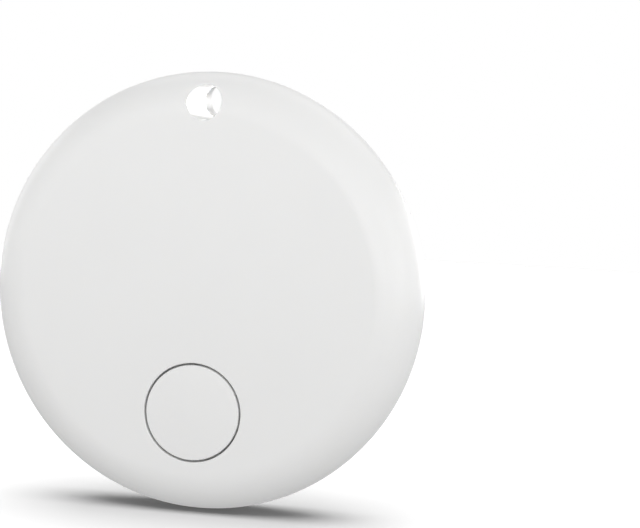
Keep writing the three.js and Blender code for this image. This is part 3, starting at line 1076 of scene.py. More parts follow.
def deliver(solid: Solid, piece: Piece) -> Solid:
    """Finish a solid: metres, shading, material, body and the nodes it stands for.

    Args:
        solid: the shaped solid, in millimetres.
        piece: what it becomes.

    Returns:
        The finished piece.
    """
    mesh = bmesh.new()
    mesh.from_mesh(solid.data)
    bmesh.ops.remove_doubles(mesh, verts=mesh.verts, dist=MERGE)
    bmesh.ops.dissolve_degenerate(mesh, edges=mesh.edges, dist=MERGE)
    bmesh.ops.recalc_face_normals(mesh, faces=mesh.faces)
    bmesh.ops.scale(mesh, vec=(MM, MM, MM), verts=mesh.verts)
    for face in mesh.faces:
        face.smooth = True
    mesh.to_mesh(solid.data)
    mesh.free()
    solid.data.set_sharp_from_angle(angle=math.radians(piece.smooth))
    shading = solid.modifiers.new("shading", "WEIGHTED_NORMAL")
    shading.keep_sharp = True
    solid.name = solid.data.name = piece.name
    solid.data.materials.clear()
    solid.data.materials.append(piece.finish.material())
    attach(solid, piece.body.value)
    if piece.stands_for:
        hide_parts(*piece.stands_for)
    LOG.info("%s rides on %s with %d faces", piece.name, piece.body.value, len(solid.data.polygons))
    return solid


# ---- Case ----


@dataclass
class FrontCase:
    """The front shell: flat face, rounded rim, key ring tube, screw bosses and button opening.

    Attributes:
        layout: shared places.
        palette: the finishes.
        edge: rounding along the parting face.
        mouth: rounding at the mouth of the key ring hole.
        button_mouth: rounding at the edge of the button's opening.
        opening: radius of the button's opening.
        root: how far what stands on the front wall starts inside it.
        tube_sink: how far the tube stays inside the outer surface.
        boss: radius of the screw bosses.
        pilot: radius of the holes that the screws cut their threads in.
        pilot_floor: how far those holes stop short of the wall.
        pin: radius of the locating pin.
        board_front: y of the board's front, which rests on the bosses.
        frame_top: y of the pin's end.
        rib: width, length and height of each rib beside the button's tab.
        rib_middle: distance of a rib from the middle.
        rib_rise: how far a rib reaches above the button.
        crease: edges that turn more than this many degrees stay sharp.
    """

    layout: Layout
    palette: Palette
    edge: float = 0.08
    mouth: float = 0.16
    button_mouth: float = 0.1
    opening: float = 4.28
    root: float = 0.6
    tube_sink: float = 0.4
    boss: float = 1.36
    pilot: float = 0.61
    pilot_floor: float = 0.4
    pin: float = 0.6
    board_front: float = -1.3
    frame_top: float = 0.3
    rib: tuple[float, float, float] = (0.6, 0.7, 0.7)
    rib_middle: float = 1.1
    rib_rise: float = 0.1
    crease: float = 14.0

    def outline(self) -> list[Point]:
        """Section of the wall, from the axis out over the face and back along the inside."""
        lay = self.layout
        outer = plain(lay.rim(0, -90, lay.rim_angle(lay.seam), 36))
        lip = Corner(outer[-1].across, outer[-1].y, self.edge)
        inner = plain(lay.rim(lay.wall, 0, -90, 16))
        bore = Corner(lay.bore, lay.seam, self.edge)
        return rounded([Corner(0, lay.front), *outer[:-1], lip, bore, *inner, Corner(0, lay.inside_front)])

    def tube(self) -> Solid:
        """Tube round the key ring hole, trimmed to the inside of the wall."""
        lay = self.layout
        start = lay.inside_front - self.root
        bar = rod(lay.tube_radius, start, lay.seam, lay.hole, 96)
        return change(bar, lay.within(self.tube_sink, start, lay.seam), Cut.KEEP)

    def ribs(self) -> list[Solid]:
        """The two ribs that keep the button from turning."""
        width, length, height = self.rib
        button = Extent.of("button_cap")
        low, top = self.layout.inside_front - self.root, self.layout.inside_front + height
        end = button.high.z + self.rib_rise
        middles = (-self.rib_middle, self.rib_middle)
        return [block((x - width / 2, low, end - length), (x + width / 2, top, end)) for x in middles]

    def build(self) -> None:
        """Mould the shell, drill it and dress it."""
        lay = self.layout
        shell = turned(self.outline(), lay.axis, lay.around)
        change(shell, self.tube(), Cut.JOIN)
        root = lay.inside_front - self.root
        for at in (*lay.screws, lay.pin):
            change(shell, rod(self.boss, root, self.board_front, at), Cut.JOIN)
        change(shell, rod(self.pin, root, self.frame_top, lay.pin), Cut.JOIN)
        for at in lay.screws:
            change(shell, rod(self.pilot, lay.inside_front + self.pilot_floor, lay.seam, at))
        for rib in self.ribs():
            change(shell, rib, Cut.JOIN)
        button = Extent.of("button_cap")
        button_axis = Vector((0, 0, button.low.z + PushButton.radius + PushButton.flange))
        inner, rear = lay.inside_front + PAST, lay.seam + PAST
        change(shell, mouth_cutter(
            button_axis, self.opening, self.button_mouth, lay.front, inner, lay.surface
        ))
        change(shell, mouth_cutter(lay.hole, lay.hole_radius, self.mouth, lay.front, rear, lay.surface))
        look = self.palette.case
        deliver(shell, Piece(
            "front_case", Body.CASE, "case_plastic", look, ("front_shell",), self.crease
        ))


@dataclass
class RearCover:
    """The cover over the battery: flat back, rounded rim, locating lip, skirt and pry notch.

    Attributes:
        layout: shared places.
        palette: the finishes.
        edge: rounding along the parting face and the lip.
        mouth: rounding at the mouth of the key ring hole.
        lip: inner and outer radius of the locating lip.
        lip_depth: how far the lip reaches past the parting face.
        skirt: inner and outer radius of the skirt round the battery well.
        skirt_end: y of the skirt's end.
        relief: gap round the key ring tube where it passes through the lip.
        collar_sink: how far the collar round the key ring hole stays inside the rear face.
        notch: width, depth and height of the pry notch.
        notch_edge: rounding of the notch.
        crease: edges that turn more than this many degrees stay sharp.
    """

    layout: Layout
    palette: Palette
    edge: float = 0.08
    mouth: float = 0.16
    lip: tuple[float, float] = (16.9, 17.65)
    lip_depth: float = 0.8
    skirt: tuple[float, float] = (12.0, 12.9)
    skirt_end: float = 0.5
    relief: float = 0.15
    collar_sink: float = 0.3
    notch: tuple[float, float, float] = (5.0, 0.9, 0.7)
    notch_edge: float = 0.15
    crease: float = 14.0

    def outline(self) -> list[Point]:
        """Section of the cover, from the axis out along the inside and back over the rear face."""
        lay = self.layout
        seam = lay.seam + lay.seam_gap
        inner, outer = self.lip
        lip_angle = math.degrees(math.acos((inner - lay.rim_centre) / (lay.rim_width - lay.cover_wall)))
        inside = plain(lay.rim(lay.cover_wall, 90, lip_angle, 12))
        outside = plain(lay.rim(0, lay.rim_angle(seam), 90, 30))
        foot = 0.2
        return rounded([
            Corner(0, lay.inside_rear),
            Corner(self.skirt[0], lay.inside_rear, foot),
            Corner(self.skirt[0], self.skirt_end, self.edge),
            Corner(self.skirt[1], self.skirt_end, self.edge),
            Corner(self.skirt[1], lay.inside_rear, foot),
            *inside,
            Corner(inner, seam - self.lip_depth, self.edge),
            Corner(outer, seam - self.lip_depth, 2 * self.edge),
            Corner(outer, seam),
            Corner(outside[0].across, outside[0].y, self.edge),
            *outside[1:-1],
            Corner(0, lay.rear),
        ])

    def build(self) -> None:
        """Mould the cover, drill it and dress it."""
        lay = self.layout
        seam = lay.seam + lay.seam_gap
        cover = turned(self.outline(), lay.axis, lay.around)
        below, end = seam - self.lip_depth - PAST, lay.inside_rear + self.collar_sink
        change(cover, rod(lay.tube_radius + self.relief, below, seam, lay.hole, 96))
        collar = rod(lay.tube_radius, seam, end, lay.hole, 96)
        change(cover, change(collar, lay.within(self.collar_sink, seam, end), Cut.KEEP), Cut.JOIN)
        change(cover, mouth_cutter(lay.hole, lay.hole_radius, self.mouth, lay.rear, below, lay.surface))
        width, depth, height = self.notch
        bottom = lay.axis.z - lay.radius
        low, high = (-width / 2, below, bottom - depth), (width / 2, seam + height, bottom + depth)
        change(cover, block(low, high, self.notch_edge, 3))
        look = self.palette.case
        deliver(cover, Piece(
            "back_case", Body.COVER, "case_plastic", look, ("rear_cover",), self.crease
        ))


# ---- Button and switch ----


@dataclass
class PushButton:
    """The button cap: a hollow disc with a flange, a nib behind and a tab that stops it turning.

    Attributes:
        layout: shared places.
        palette: the finishes.
        radius: radius of the face.
        flange: how far the flange reaches past the face.
        flange_front: y of the flange's front.
        flange_rear: y of the flange's rear.
        skin: thickness of the face and the side.
        nib: radius of the nib that presses the switch.
        edge: rounding of the face.
        key_width: width of the tab.
        crease: edges that turn more than this many degrees stay sharp.
    """

    layout: Layout
    palette: Palette
    radius: float = 4.11
    flange: float = 0.8
    flange_front: float = -2.7
    flange_rear: float = -2.3
    skin: float = 0.9
    nib: float = 1.1
    edge: float = 0.12
    key_width: float = 1.4
    crease: float = 14.0

    def build(self) -> None:
        """Mould the cap and dress it."""
        box = Extent.of("button_cap")
        axis = Vector((0, 0, box.low.z + self.radius + self.flange))
        front, inner = box.low.y, self.radius - self.skin
        fine = self.edge / 2
        outline = rounded([
            Corner(0, front),
            Corner(self.radius, front, self.edge),
            Corner(self.radius, self.flange_front, fine),
            Corner(self.radius + self.flange, self.flange_front, fine),
            Corner(self.radius + self.flange, self.flange_rear, fine),
            Corner(inner, self.flange_rear, fine),
            Corner(inner, front + self.skin, self.edge),
            Corner(self.nib, front + self.skin, self.edge),
            Corner(self.nib, box.high.y, fine),
            Corner(0, box.high.y),
        ])
        cap = turned(outline, axis, 144)
        start = axis.z + self.radius + self.flange / 2
        half = self.key_width / 2
        key = block((-half, self.flange_front, start), (half, self.flange_rear, box.high.z), fine)
        change(cap, key, Cut.JOIN)
        look = self.palette.button
        deliver(cap, Piece(
            "push_button", Body.BUTTON, "button_plastic", look, ("button_cap",), self.crease
        ))


@dataclass
class TactSwitch:
    """The switch under the button: base, steel plate, plunger and snap dome.

    Attributes:
        palette: the finishes.
        edge: rounding of the base.
        bore: radius of the base's well.
        floor: thickness of the base under its well.
        plate_hole: radius of the plate's hole.
        plate_notch: depth and height of the notch in each side of the plate.
        plate_edge: rounding of the plate.
        plunger: radius of the plunger.
        plunger_flange: radius of the plunger's foot.
        plunger_foot: thickness of that foot.
        dome_sheet: thickness of the snap dome's sheet.
    """

    palette: Palette
    edge: float = 0.05
    bore: float = 1.4
    floor: float = 0.1
    plate_hole: float = 1.1
    plate_notch: tuple[float, float] = (0.25, 1.4)
    plate_edge: float = 0.02
    plunger: float = 1.0
    plunger_flange: float = 1.3
    plunger_foot: float = 0.15
    dome_sheet: float = 0.05

    def build(self) -> None:
        """Build the four pieces of the switch."""
        base, plate = Extent.of("switch_body"), Extent.of("switch_cover_plate")
        dome, plunger = Extent.of("switch_dome"), Extent.of("switch_plunger")
        axis = Vector((0, 0, base.centre.z))
        body = block(base.low, base.high, self.edge)
        change(body, rod(self.bore, base.low.y - PAST, base.high.y - self.floor, axis))
        look = self.palette.switch_base
        deliver(body, Piece("switch_base", Body.CASE, "switch_plastic", look, ("switch_body",)))
        lid = block(plate.low, plate.high, self.plate_edge, 1)
        below, above = plate.low.y - PAST, plate.high.y + PAST
        change(lid, rod(self.plate_hole, below, above, axis))
        deep, half = self.plate_notch[0], self.plate_notch[1] / 2
        for x in (-plate.size.x / 2, plate.size.x / 2):
            change(lid, block((x - deep, below, axis.z - half), (x + deep, above, axis.z + half)))
        look = self.palette.switch_sheet
        deliver(lid, Piece("switch_lid", Body.CASE, "switch_steel", look, ("switch_cover_plate",)))
        stem = rounded([
            Corner(0, plunger.low.y),
            Corner(self.plunger, plunger.low.y, 2 * self.edge),
            Corner(self.plunger, plunger.high.y - self.plunger_foot),
            Corner(self.plunger_flange, plunger.high.y - self.plunger_foot, self.edge / 2),
            Corner(self.plunger_flange, plunger.high.y, self.edge / 2),
            Corner(0, plunger.high.y),
        ])
        made = turned(stem, axis, 64)
        look = self.palette.plunger
        deliver(made, Piece("switch_stem", Body.PLUNGER, "plunger_plastic", look, ("switch_plunger",)))
        self.snap_dome(dome, axis)

    def snap_dome(self, box: Extent, axis: Vector) -> None:
        """Press the snap dome from a curved line of its sheet.

        Args:
            box: the dome's box.
            axis: a point on its axis.
        """
        radius, rise, steps = box.size.x / 2, box.size.y - self.dome_sheet, 10
        shares = [i / steps for i in range(steps + 1)]
        near = [(radius * s, box.low.y + rise * s * s) for s in shares]
        far = [(across, y + self.dome_sheet) for across, y in reversed(near)]
        made = turned(near + far, axis, 64)
        look = self.palette.switch_sheet
        deliver(made, Piece("snap_dome", Body.CASE, "switch_steel", look, ("switch_dome",)))


# ---- Frame, seal and screws ----


@dataclass
class BatteryBay:
    """The black frame with the cell's well, the seal ring in its groove and the three screws.

    Attributes:
        layout: shared places.
        palette: the finishes.
        well_inner: inner radius of the well's wall.
        well_outer: outer radius of the well's wall.
        groove: radius of the groove's floor.
        groove_span: y of the groove's two sides.
        ledge: inner radius of the ledge under the cell.
        ledge_top: y of the ledge.
        plate_top: y of the plate that the screws hold.
        edge: rounding of the frame's edges.
        contact_recess: how far out the recess for the side contact reaches, and its width.
        finger_notch: width and depth of the notch that a finger lifts the cell by.
        notch_edge: rounding of that notch.
        flash: height of the flash line on the seal ring.
        shank: radius of a screw's thread.
        thread: depth and pitch of the thread.
        head_edge: how far the head's foot is drawn in, how high that is, and where the dome begins.
        slot: length, width and depth of the cross slot.
    """

    layout: Layout
    palette: Palette
    well_inner: float = 10.2
    well_outer: float = 11.5
    groove: float = 11.05
    groove_span: tuple[float, float] = (1.0, 1.9)
    ledge: float = 8.9
    ledge_top: float = -0.03
    plate_top: float = 0.3
    edge: float = 0.06
    contact_recess: tuple[float, float] = (10.65, 4.0)
    finger_notch: tuple[float, float] = (5.0, 0.6)
    notch_edge: float = 0.2
    flash: float = 0.012
    shank: float = 0.55
    thread: tuple[float, float] = (0.12, 0.25)
    head_edge: tuple[float, float, float] = (0.04, 0.06, 0.22)
    slot: tuple[float, float, float] = (1.3, 0.3, 0.25)

    def build(self) -> None:
        """Build the frame, the seal and the screws."""
        self.frame()
        self.seal()
        for number in (1, 2, 3):
            self.screw(f"frame_screw_{number}", f"cross_screw_{number}")

    def frame(self) -> None:
        """Mould the frame and cut its holes."""
        box, lay = Extent.of("mid_frame"), self.layout
        radius, bottom, top = box.size.x / 2, box.low.y, box.high.y
        low, high = self.groove_span
        outline = rounded([
            Corner(self.ledge, bottom),
            Corner(radius, bottom, self.edge),
            Corner(radius, self.plate_top, self.edge),
            Corner(self.well_outer, self.plate_top, 2 * self.edge),
            Corner(self.well_outer, low, self.edge / 2),
            Corner(self.groove, low, self.edge),
            Corner(self.groove, high, self.edge),
            Corner(self.well_outer, high, self.edge / 2),
            Corner(self.well_outer, top, self.edge),
            Corner(self.well_inner, top, 2 * self.edge),
            Corner(self.well_inner, self.ledge_top, self.edge),
            Corner(self.ledge, self.ledge_top, self.edge),
        ])
        made = turned(outline, lay.axis, lay.around)
        above, below = top + PAST, bottom - PAST
        lay.drill(made, below, above)
        z = lay.axis.z
        reach, width = self.contact_recess
        change(made, block((self.ledge - PAST, below, z - width / 2), (reach, above, z + width / 2)))
        width, depth = self.finger_notch
        inner, outer = depth - self.well_inner, -self.well_inner - depth
        notch = block((outer, high, z - width / 2), (inner, above, z + width / 2), self.notch_edge, 3)
        change(made, notch)
        look = self.palette.frame
        deliver(made, Piece("battery_frame", Body.CASE, "frame_plastic", look, ("mid_frame",)))

    def seal(self) -> None:
        """Turn the seal ring, with the fine flash line of its mould."""
        box = Extent.of("seal_ring")
        section = box.size.y / 2
        middle = box.size.x / 2 - section
        steps = 24
        outline = []
        for i in range(steps):
            angle = math.tau * i / steps
            radius = section - self.flash * (i % (steps // 2) != 0)
            outline.append((middle + radius * math.cos(angle), box.centre.y + radius * math.sin(angle)))
        ring = turned(outline, self.layout.axis, self.layout.around)
        deliver(ring, Piece("seal", Body.CASE, "seal_rubber", self.palette.seal, ("seal_ring",), 60))

    def screw(self, node: str, name: str) -> None:
        """Make one screw: domed head, cross slot and thread.

        Args:
            node: the CAD node it stands for.
            name: the piece's name.
        """
        box = Extent.of(node)
        axis = Vector((box.centre.x, 0, box.centre.z))
        (depth, pitch), (draw, foot, brim) = self.thread, self.head_edge
        head, shank, core = box.size.x / 2, self.shank, self.shank - depth
        top, seat = box.high.y, self.plate_top
        thread: list[Point] = []
        y = seat - pitch
        while y > box.low.y + 2 * pitch:
            thread += [(core, y), (shank, y - 0.4 * pitch), (shank, y - 0.55 * pitch)]
            y -= pitch
        stem = [(0, box.low.y), (core / 2, box.low.y), (core, box.low.y + pitch), *reversed(thread)]
        side = [(core, seat), (head - draw, seat), (head, seat + foot), (head, seat + brim)]
        angles = [math.radians(15 * i) for i in range(1, 6)]
        crown = [(head * math.cos(a), seat + brim + (top - seat - brim) * math.sin(a)) for a in angles]
        made = turned([*stem, *side, *crown, (0, top)], axis, 48)
        long, wide, deep = self.slot
        for half_x, half_z in ((long / 2, wide / 2), (wide / 2, long / 2)):
            low = (axis.x - half_x, top - deep, axis.z - half_z)
            change(made, block(low, (axis.x + half_x, top + PAST, axis.z + half_z)))
        deliver(made, Piece(name, Body.CASE, "screw_steel", self.palette.screw, (node,)))


# ---- Coin cell ----


@dataclass
class CoinCell:
    """The lithium cell: steel can, negative cap, gasket and core.

    Attributes:
        layout: shared places.
        palette: the finishes.
        wall: thickness of the steel.
        bevel: rounding of the can's edges.
        step: width from the can's side, and depth, of the step round its flat.
        cap_radius: radius of the cap's flat.
        gasket_wall: thickness of the gasket.
        gasket_proud: how far the gasket's lips stand behind its crest.
        crimp: y of the can's crimped edge.
        mark: length, width and depth of the plus sign's bars.
        layers: number of layers in the core.
        groove: depth of the groove between two layers.
    """

    layout: Layout
    palette: Palette
    wall: float = 0.25
    bevel: float = 0.3
    step: tuple[float, float] = (1.1, 0.05)
    cap_radius: float = 8.8
    gasket_wall: float = 0.3
    gasket_proud: float = 0.03
    crimp: float = 0.0
    mark: tuple[float, float, float] = (3.4, 0.7, 0.06)
    layers: int = 4
    groove: float = 0.06

    def steel(self, name: str) -> TurnedMetal:
        """Plated steel with marks round the cell's axis.

        Args:
            name: the finish's name.

        Returns:
            The finish.
        """
        axis = self.layout.axis
        return TurnedMetal(
            name, (0.66, 0.65, 0.62), 0.27, 0.05, 0.05, 9000, 1.5e-6, 0.5, 0.0, centre=(axis.x, axis.z)
        )

    def build(self) -> None:
        """Build the four pieces of the cell."""
        self.can()
        self.cap()
        self.gasket()
        self.core()

    def can(self) -> None:
        """Press the can, with a shallow step and a plus sign on its flat."""
        box, axis = Extent.of("coin_cell_can"), self.layout.axis
        radius, top = box.size.x / 2, box.high.y
        crimp_inner = self.cap_radius + self.gasket_wall
        step, step_radius = self.step[1], radius - self.step[0]
        outline = rounded([
            Corner(0, top - self.wall),
            Corner(radius - self.wall, top - self.wall, self.bevel / 2),
            Corner(radius - self.wall, self.crimp + self.wall, self.bevel / 2),
            Corner(crimp_inner, self.crimp + self.wall),
            Corner(crimp_inner, self.crimp),
            Corner(radius, self.crimp, self.bevel),
            Corner(radius, top - step, self.bevel),
            Corner(step_radius + step, top - step),
            Corner(step_radius, top, step / 2),
            Corner(0, top),
        ], 5)
        made = turned(outline, axis, 192)
        length, width, depth = self.mark
        for half_x, half_z in ((length / 2, width / 2), (width / 2, length / 2)):
            z = axis.z + radius / 2
            change(made, block((-half_x, top - depth, z - half_z), (half_x, top + PAST, z + half_z)))
        steel = self.steel("can_steel")
        deliver(made, Piece("cell_can", Body.CELL, "cell_steel", steel, ("coin_cell_can",)))

    def cap(self) -> None:
        """Press the negative cap."""
        box, axis = Extent.of("coin_cell_cap"), self.layout.axis
        shoulder = self.crimp + self.wall + self.gasket_wall
        skirt, cap, front = box.size.x / 2, self.cap_radius, box.low.y
        outline = rounded([
            Corner(0, front),
            Corner(cap, front, self.bevel),
            Corner(cap, shoulder),
            Corner(skirt, shoulder, self.bevel / 3),
            Corner(skirt, box.high.y),
            Corner(skirt - self.wall, box.high.y),
            Corner(skirt - self.wall, shoulder + self.wall),
            Corner(cap - self.wall, shoulder + self.wall),
            Corner(cap - self.wall, front + self.wall),
            Corner(0, front + self.wall),
        ])
        made, steel = turned(outline, axis, 192), self.steel("cap_steel")
        deliver(made, Piece("cell_cap", Body.CELL, "cell_steel", steel, ("coin_cell_cap",)))

    def gasket(self) -> None:
        """Mould the gasket that parts can and cap."""
        box, axis = Extent.of("coin_cell_gasket"), self.layout.axis
        shoulder, outer = self.crimp + self.wall, box.size.x / 2
        inner, lips = outer - self.gasket_wall, self.crimp + self.gasket_proud
        made = turned([
            (self.cap_radius, lips),
            (self.cap_radius + self.gasket_wall / 2, self.crimp),
            (self.cap_radius + self.gasket_wall, lips),
            (self.cap_radius + self.gasket_wall, shoulder),
            (outer, shoulder),
            (outer, box.high.y),
            (inner - self.wall, box.high.y),
            (inner - self.wall, box.high.y - self.gasket_wall),
            (inner, box.high.y - self.gasket_wall),
            (inner, shoulder + self.gasket_wall),
            (self.cap_radius, shoulder + self.gasket_wall),
        ], axis, 128)
        look = self.palette.gasket
        deliver(made, Piece("cell_gasket", Body.CELL, "cell_gasket", look, ("coin_cell_gasket",)))

    def core(self) -> None:
        """Stack the pellet, the separator and the foil that fill the cell."""
        box, axis = Extent.of("coin_cell_core"), self.layout.axis
        wide, narrow = box.size.x / 2, self.cap_radius - self.wall
        shoulder, groove = self.crimp + 2 * self.wall + self.gasket_wall, self.groove
        outline = [(0, box.low.y), (narrow, box.low.y), (narrow, shoulder), (wide, shoulder)]
        for i in range(1, self.layers):
            y = shoulder + (box.high.y - shoulder) * i / self.layers
            outline += [(wide, y - groove), (wide - groove, y), (wide, y + groove)]
        made, look = turned([*outline, (wide, box.high.y), (0, box.high.y)], axis, 96), self.palette.core
        deliver(made, Piece("cell_stack", Body.CELL, "cell_core", look, ("coin_cell_core",)))


# ---- Contacts ----


@dataclass
class Contacts:
    """Spring contacts of the cell and of the buzzer, bent from nickel plated sheet.

    Attributes:
        palette: the finishes.
        gauge: thickness of the sheet.
        bend: radius of the bends.
        foot_bend: radius of the bend at the side contact's foot.
        burr: rounding of the sheet's cut edges.
        tip: length of the negative contact's flat tips.
        foot: half the length of its flat foot.
        split: gap between its fingers, and how far from the foot the gap starts.
        buzzer_tip: length of a buzzer contact's flat tip.
        buzzer_foot: where its flat foot ends, measured from its middle.
    """

    palette: Palette
    gauge: float = 0.12
    bend: float = 0.25
    foot_bend: float = 0.1
    burr: float = 0.02
    tip: float = 1.2
    foot: float = 1.6
    split: tuple[float, float] = (0.4, 0.3)
    buzzer_tip: float = 0.5
    buzzer_foot: float = 0.05

    def finish(self, solid: Solid, name: str, node: str) -> None:
        """Round a contact's cut edges, dress it and put it in for its CAD node."""
        soften(solid, self.burr, 1)
        deliver(solid, Piece(name, Body.CASE, "contact_nickel", self.palette.contact, (node,)))

    def build(self) -> None:
        """Bend the four contacts."""
        self.negative()
        self.positive()
        for end in ("inner", "outer"):
            self.buzzer(f"buzzer_spring_{end}", f"buzzer_finger_{end}")

    def negative(self) -> None:
        """Two sprung arms that rise from a flat foot to the cap, each split in two fingers."""
        box = Extent.of("negative_contact")
        low, high, half = box.low.y + self.gauge / 2, box.high.y - self.gauge / 2, box.size.z / 2
        knee, foot = half - self.tip, self.foot
        arm = [Corner(half, high), Corner(knee, high, self.bend), Corner(foot, low, self.bend)]
        other = [Corner(-c.across, c.y, c.fillet) for c in reversed(arm)]
        path = rounded([*arm, *other], 6)
        at = Vector((0, 0, box.centre.z))
        made = extruded(sheet(path, self.gauge), box.low.x, box.high.x, at)
        gap, start = self.split[0] / 2, foot + self.split[1]
        below, above = box.low.y - PAST, box.high.y + PAST
        for near, far in ((-half - PAST, -start), (start, half + PAST)):
            change(made, block((-gap, below, at.z + near), (gap, above, at.z + far)))
        self.finish(made, "negative_spring", "negative_contact")

    def positive(self) -> None:
        """A leaf that presses on the side of the cell, standing on a foot."""
        box = Extent.of("positive_contact")
        middle = self.gauge / 2
        path = rounded([
            Corner(box.low.x + middle, box.high.y - middle),
            Corner(box.low.x + middle, box.low.y + middle, self.foot_bend),
            Corner(box.high.x, box.low.y + middle),
        ], 4)
        half = box.size.z / 2
        made = extruded(sheet(path, self.gauge), -half, half, Vector((0, 0, 0)))
        # The outline was drawn along Z, and a quarter turn about Y lays it along X.
        quarter = Matrix.Rotation(math.radians(90), 4, "Y")
        made.data.transform(Matrix.Translation((0, 0, box.centre.z)) @ quarter)
        self.finish(made, "positive_leaf", "positive_contact")

    def buzzer(self, node: str, name: str) -> None:
        """A bow from the board to the buzzer: foot, slope and flat tip.

        Args:
            node: the CAD node it stands for.
            name: the piece's name.
        """
        box = Extent.of(node)
        half, middle = box.size.z / 2, self.gauge / 2
        top, foot = box.low.y + middle, box.high.y - middle
        path = rounded([
            Corner(-half, foot),
            Corner(self.buzzer_foot, foot, self.bend / 2),
            Corner(half - self.buzzer_tip, top, self.bend / 2),
            Corner(half, top),
        ], 5)
        at = Vector((box.centre.x, 0, box.centre.z))
        made = extruded(sheet(path, self.gauge), -box.size.x / 2, box.size.x / 2, at)
        self.finish(made, name, node)


# ---- Buzzer ----


@dataclass
class Buzzer:
    """The piezo disc: adhesive ring, brass plate, ceramic and its silver electrode.

    Attributes:
        palette: the finishes.
        film_width: width of the adhesive ring.
        film_edge: rounding of the ring.
        edge: rounding of the plate and the ceramic.
        layer: thickness of the electrode.
        margin: bare ceramic round the electrode.
    """

    palette: Palette
    film_width: float = 0.9
    film_edge: float = 0.03
    edge: float = 0.05
    layer: float = 0.02
    margin: float = 0.35

    def build(self) -> None:
        """Build the disc's layers."""
        film, plate, ceramic = (Extent.of(f"buzzer_{part}") for part in ("adhesive", "plate", "ceramic"))
        axis = Vector((plate.centre.x, 0, plate.centre.z))
        outer, soft, look = film.size.x / 2, self.film_edge, self.palette.film
        inner = outer - self.film_width
        made = turned(rounded([
            Corner(inner, film.low.y), Corner(outer, film.low.y, soft),
            Corner(outer, film.high.y, soft), Corner(inner, film.high.y),
        ], 2), axis, 128)
        deliver(made, Piece("buzzer_film", Body.CASE, "adhesive_film", look, ("buzzer_adhesive",)))
        radius, edge = plate.size.x / 2, self.edge
        brass = TurnedMetal(
            "buzzer_brass", (0.62, 0.42, 0.14), 0.34, 0.07, 0.08, 9000, 2e-6, 0.5, 0.0,
            centre=(axis.x, axis.z),
        )
        made = turned(rounded([
            Corner(0, plate.low.y), Corner(radius, plate.low.y, edge),
            Corner(radius, plate.high.y, edge), Corner(0, plate.high.y),
        ]), axis, 160)
        deliver(made, Piece("buzzer_disc", Body.CASE, "buzzer_brass", brass, ("buzzer_plate",)))
        radius, top, look = ceramic.size.x / 2, ceramic.high.y - self.layer, self.palette.piezo
        made = turned(rounded([
            Corner(0, ceramic.low.y), Corner(radius, ceramic.low.y),
            Corner(radius, top, edge), Corner(0, top),
        ]), axis, 128)
        deliver(made, Piece("piezo_wafer", Body.CASE, "piezo_ceramic", look, ("buzzer_ceramic",)))
        made = rod(radius - self.margin, top, ceramic.high.y, axis, 128)
        deliver(made, Piece("piezo_electrode", Body.CASE, "piezo_ceramic", self.palette.silver))


# ---- Circuit board ----


class Package(Enum):
    """Kinds of small part on the board."""

    LEADLESS = "resin block with pads round its foot"
    LIDDED = "metal lid on a ceramic base"
    CHIP = "ceramic block between two tinned ends"
    COIL = "ferrite block round a sunk winding"


@dataclass(frozen=True)
class BoardPart:
    """One part soldered to the board.

    Attributes:
        node: the CAD node it stands for.
        package: its kind.
        slot: name of a material slot.
        finish: what its block is dressed in.
        pads: pads along a side, for a leadless part.
    """

    node: str
    package: Package
    slot: str
    finish: Finish
    pads: int = 4


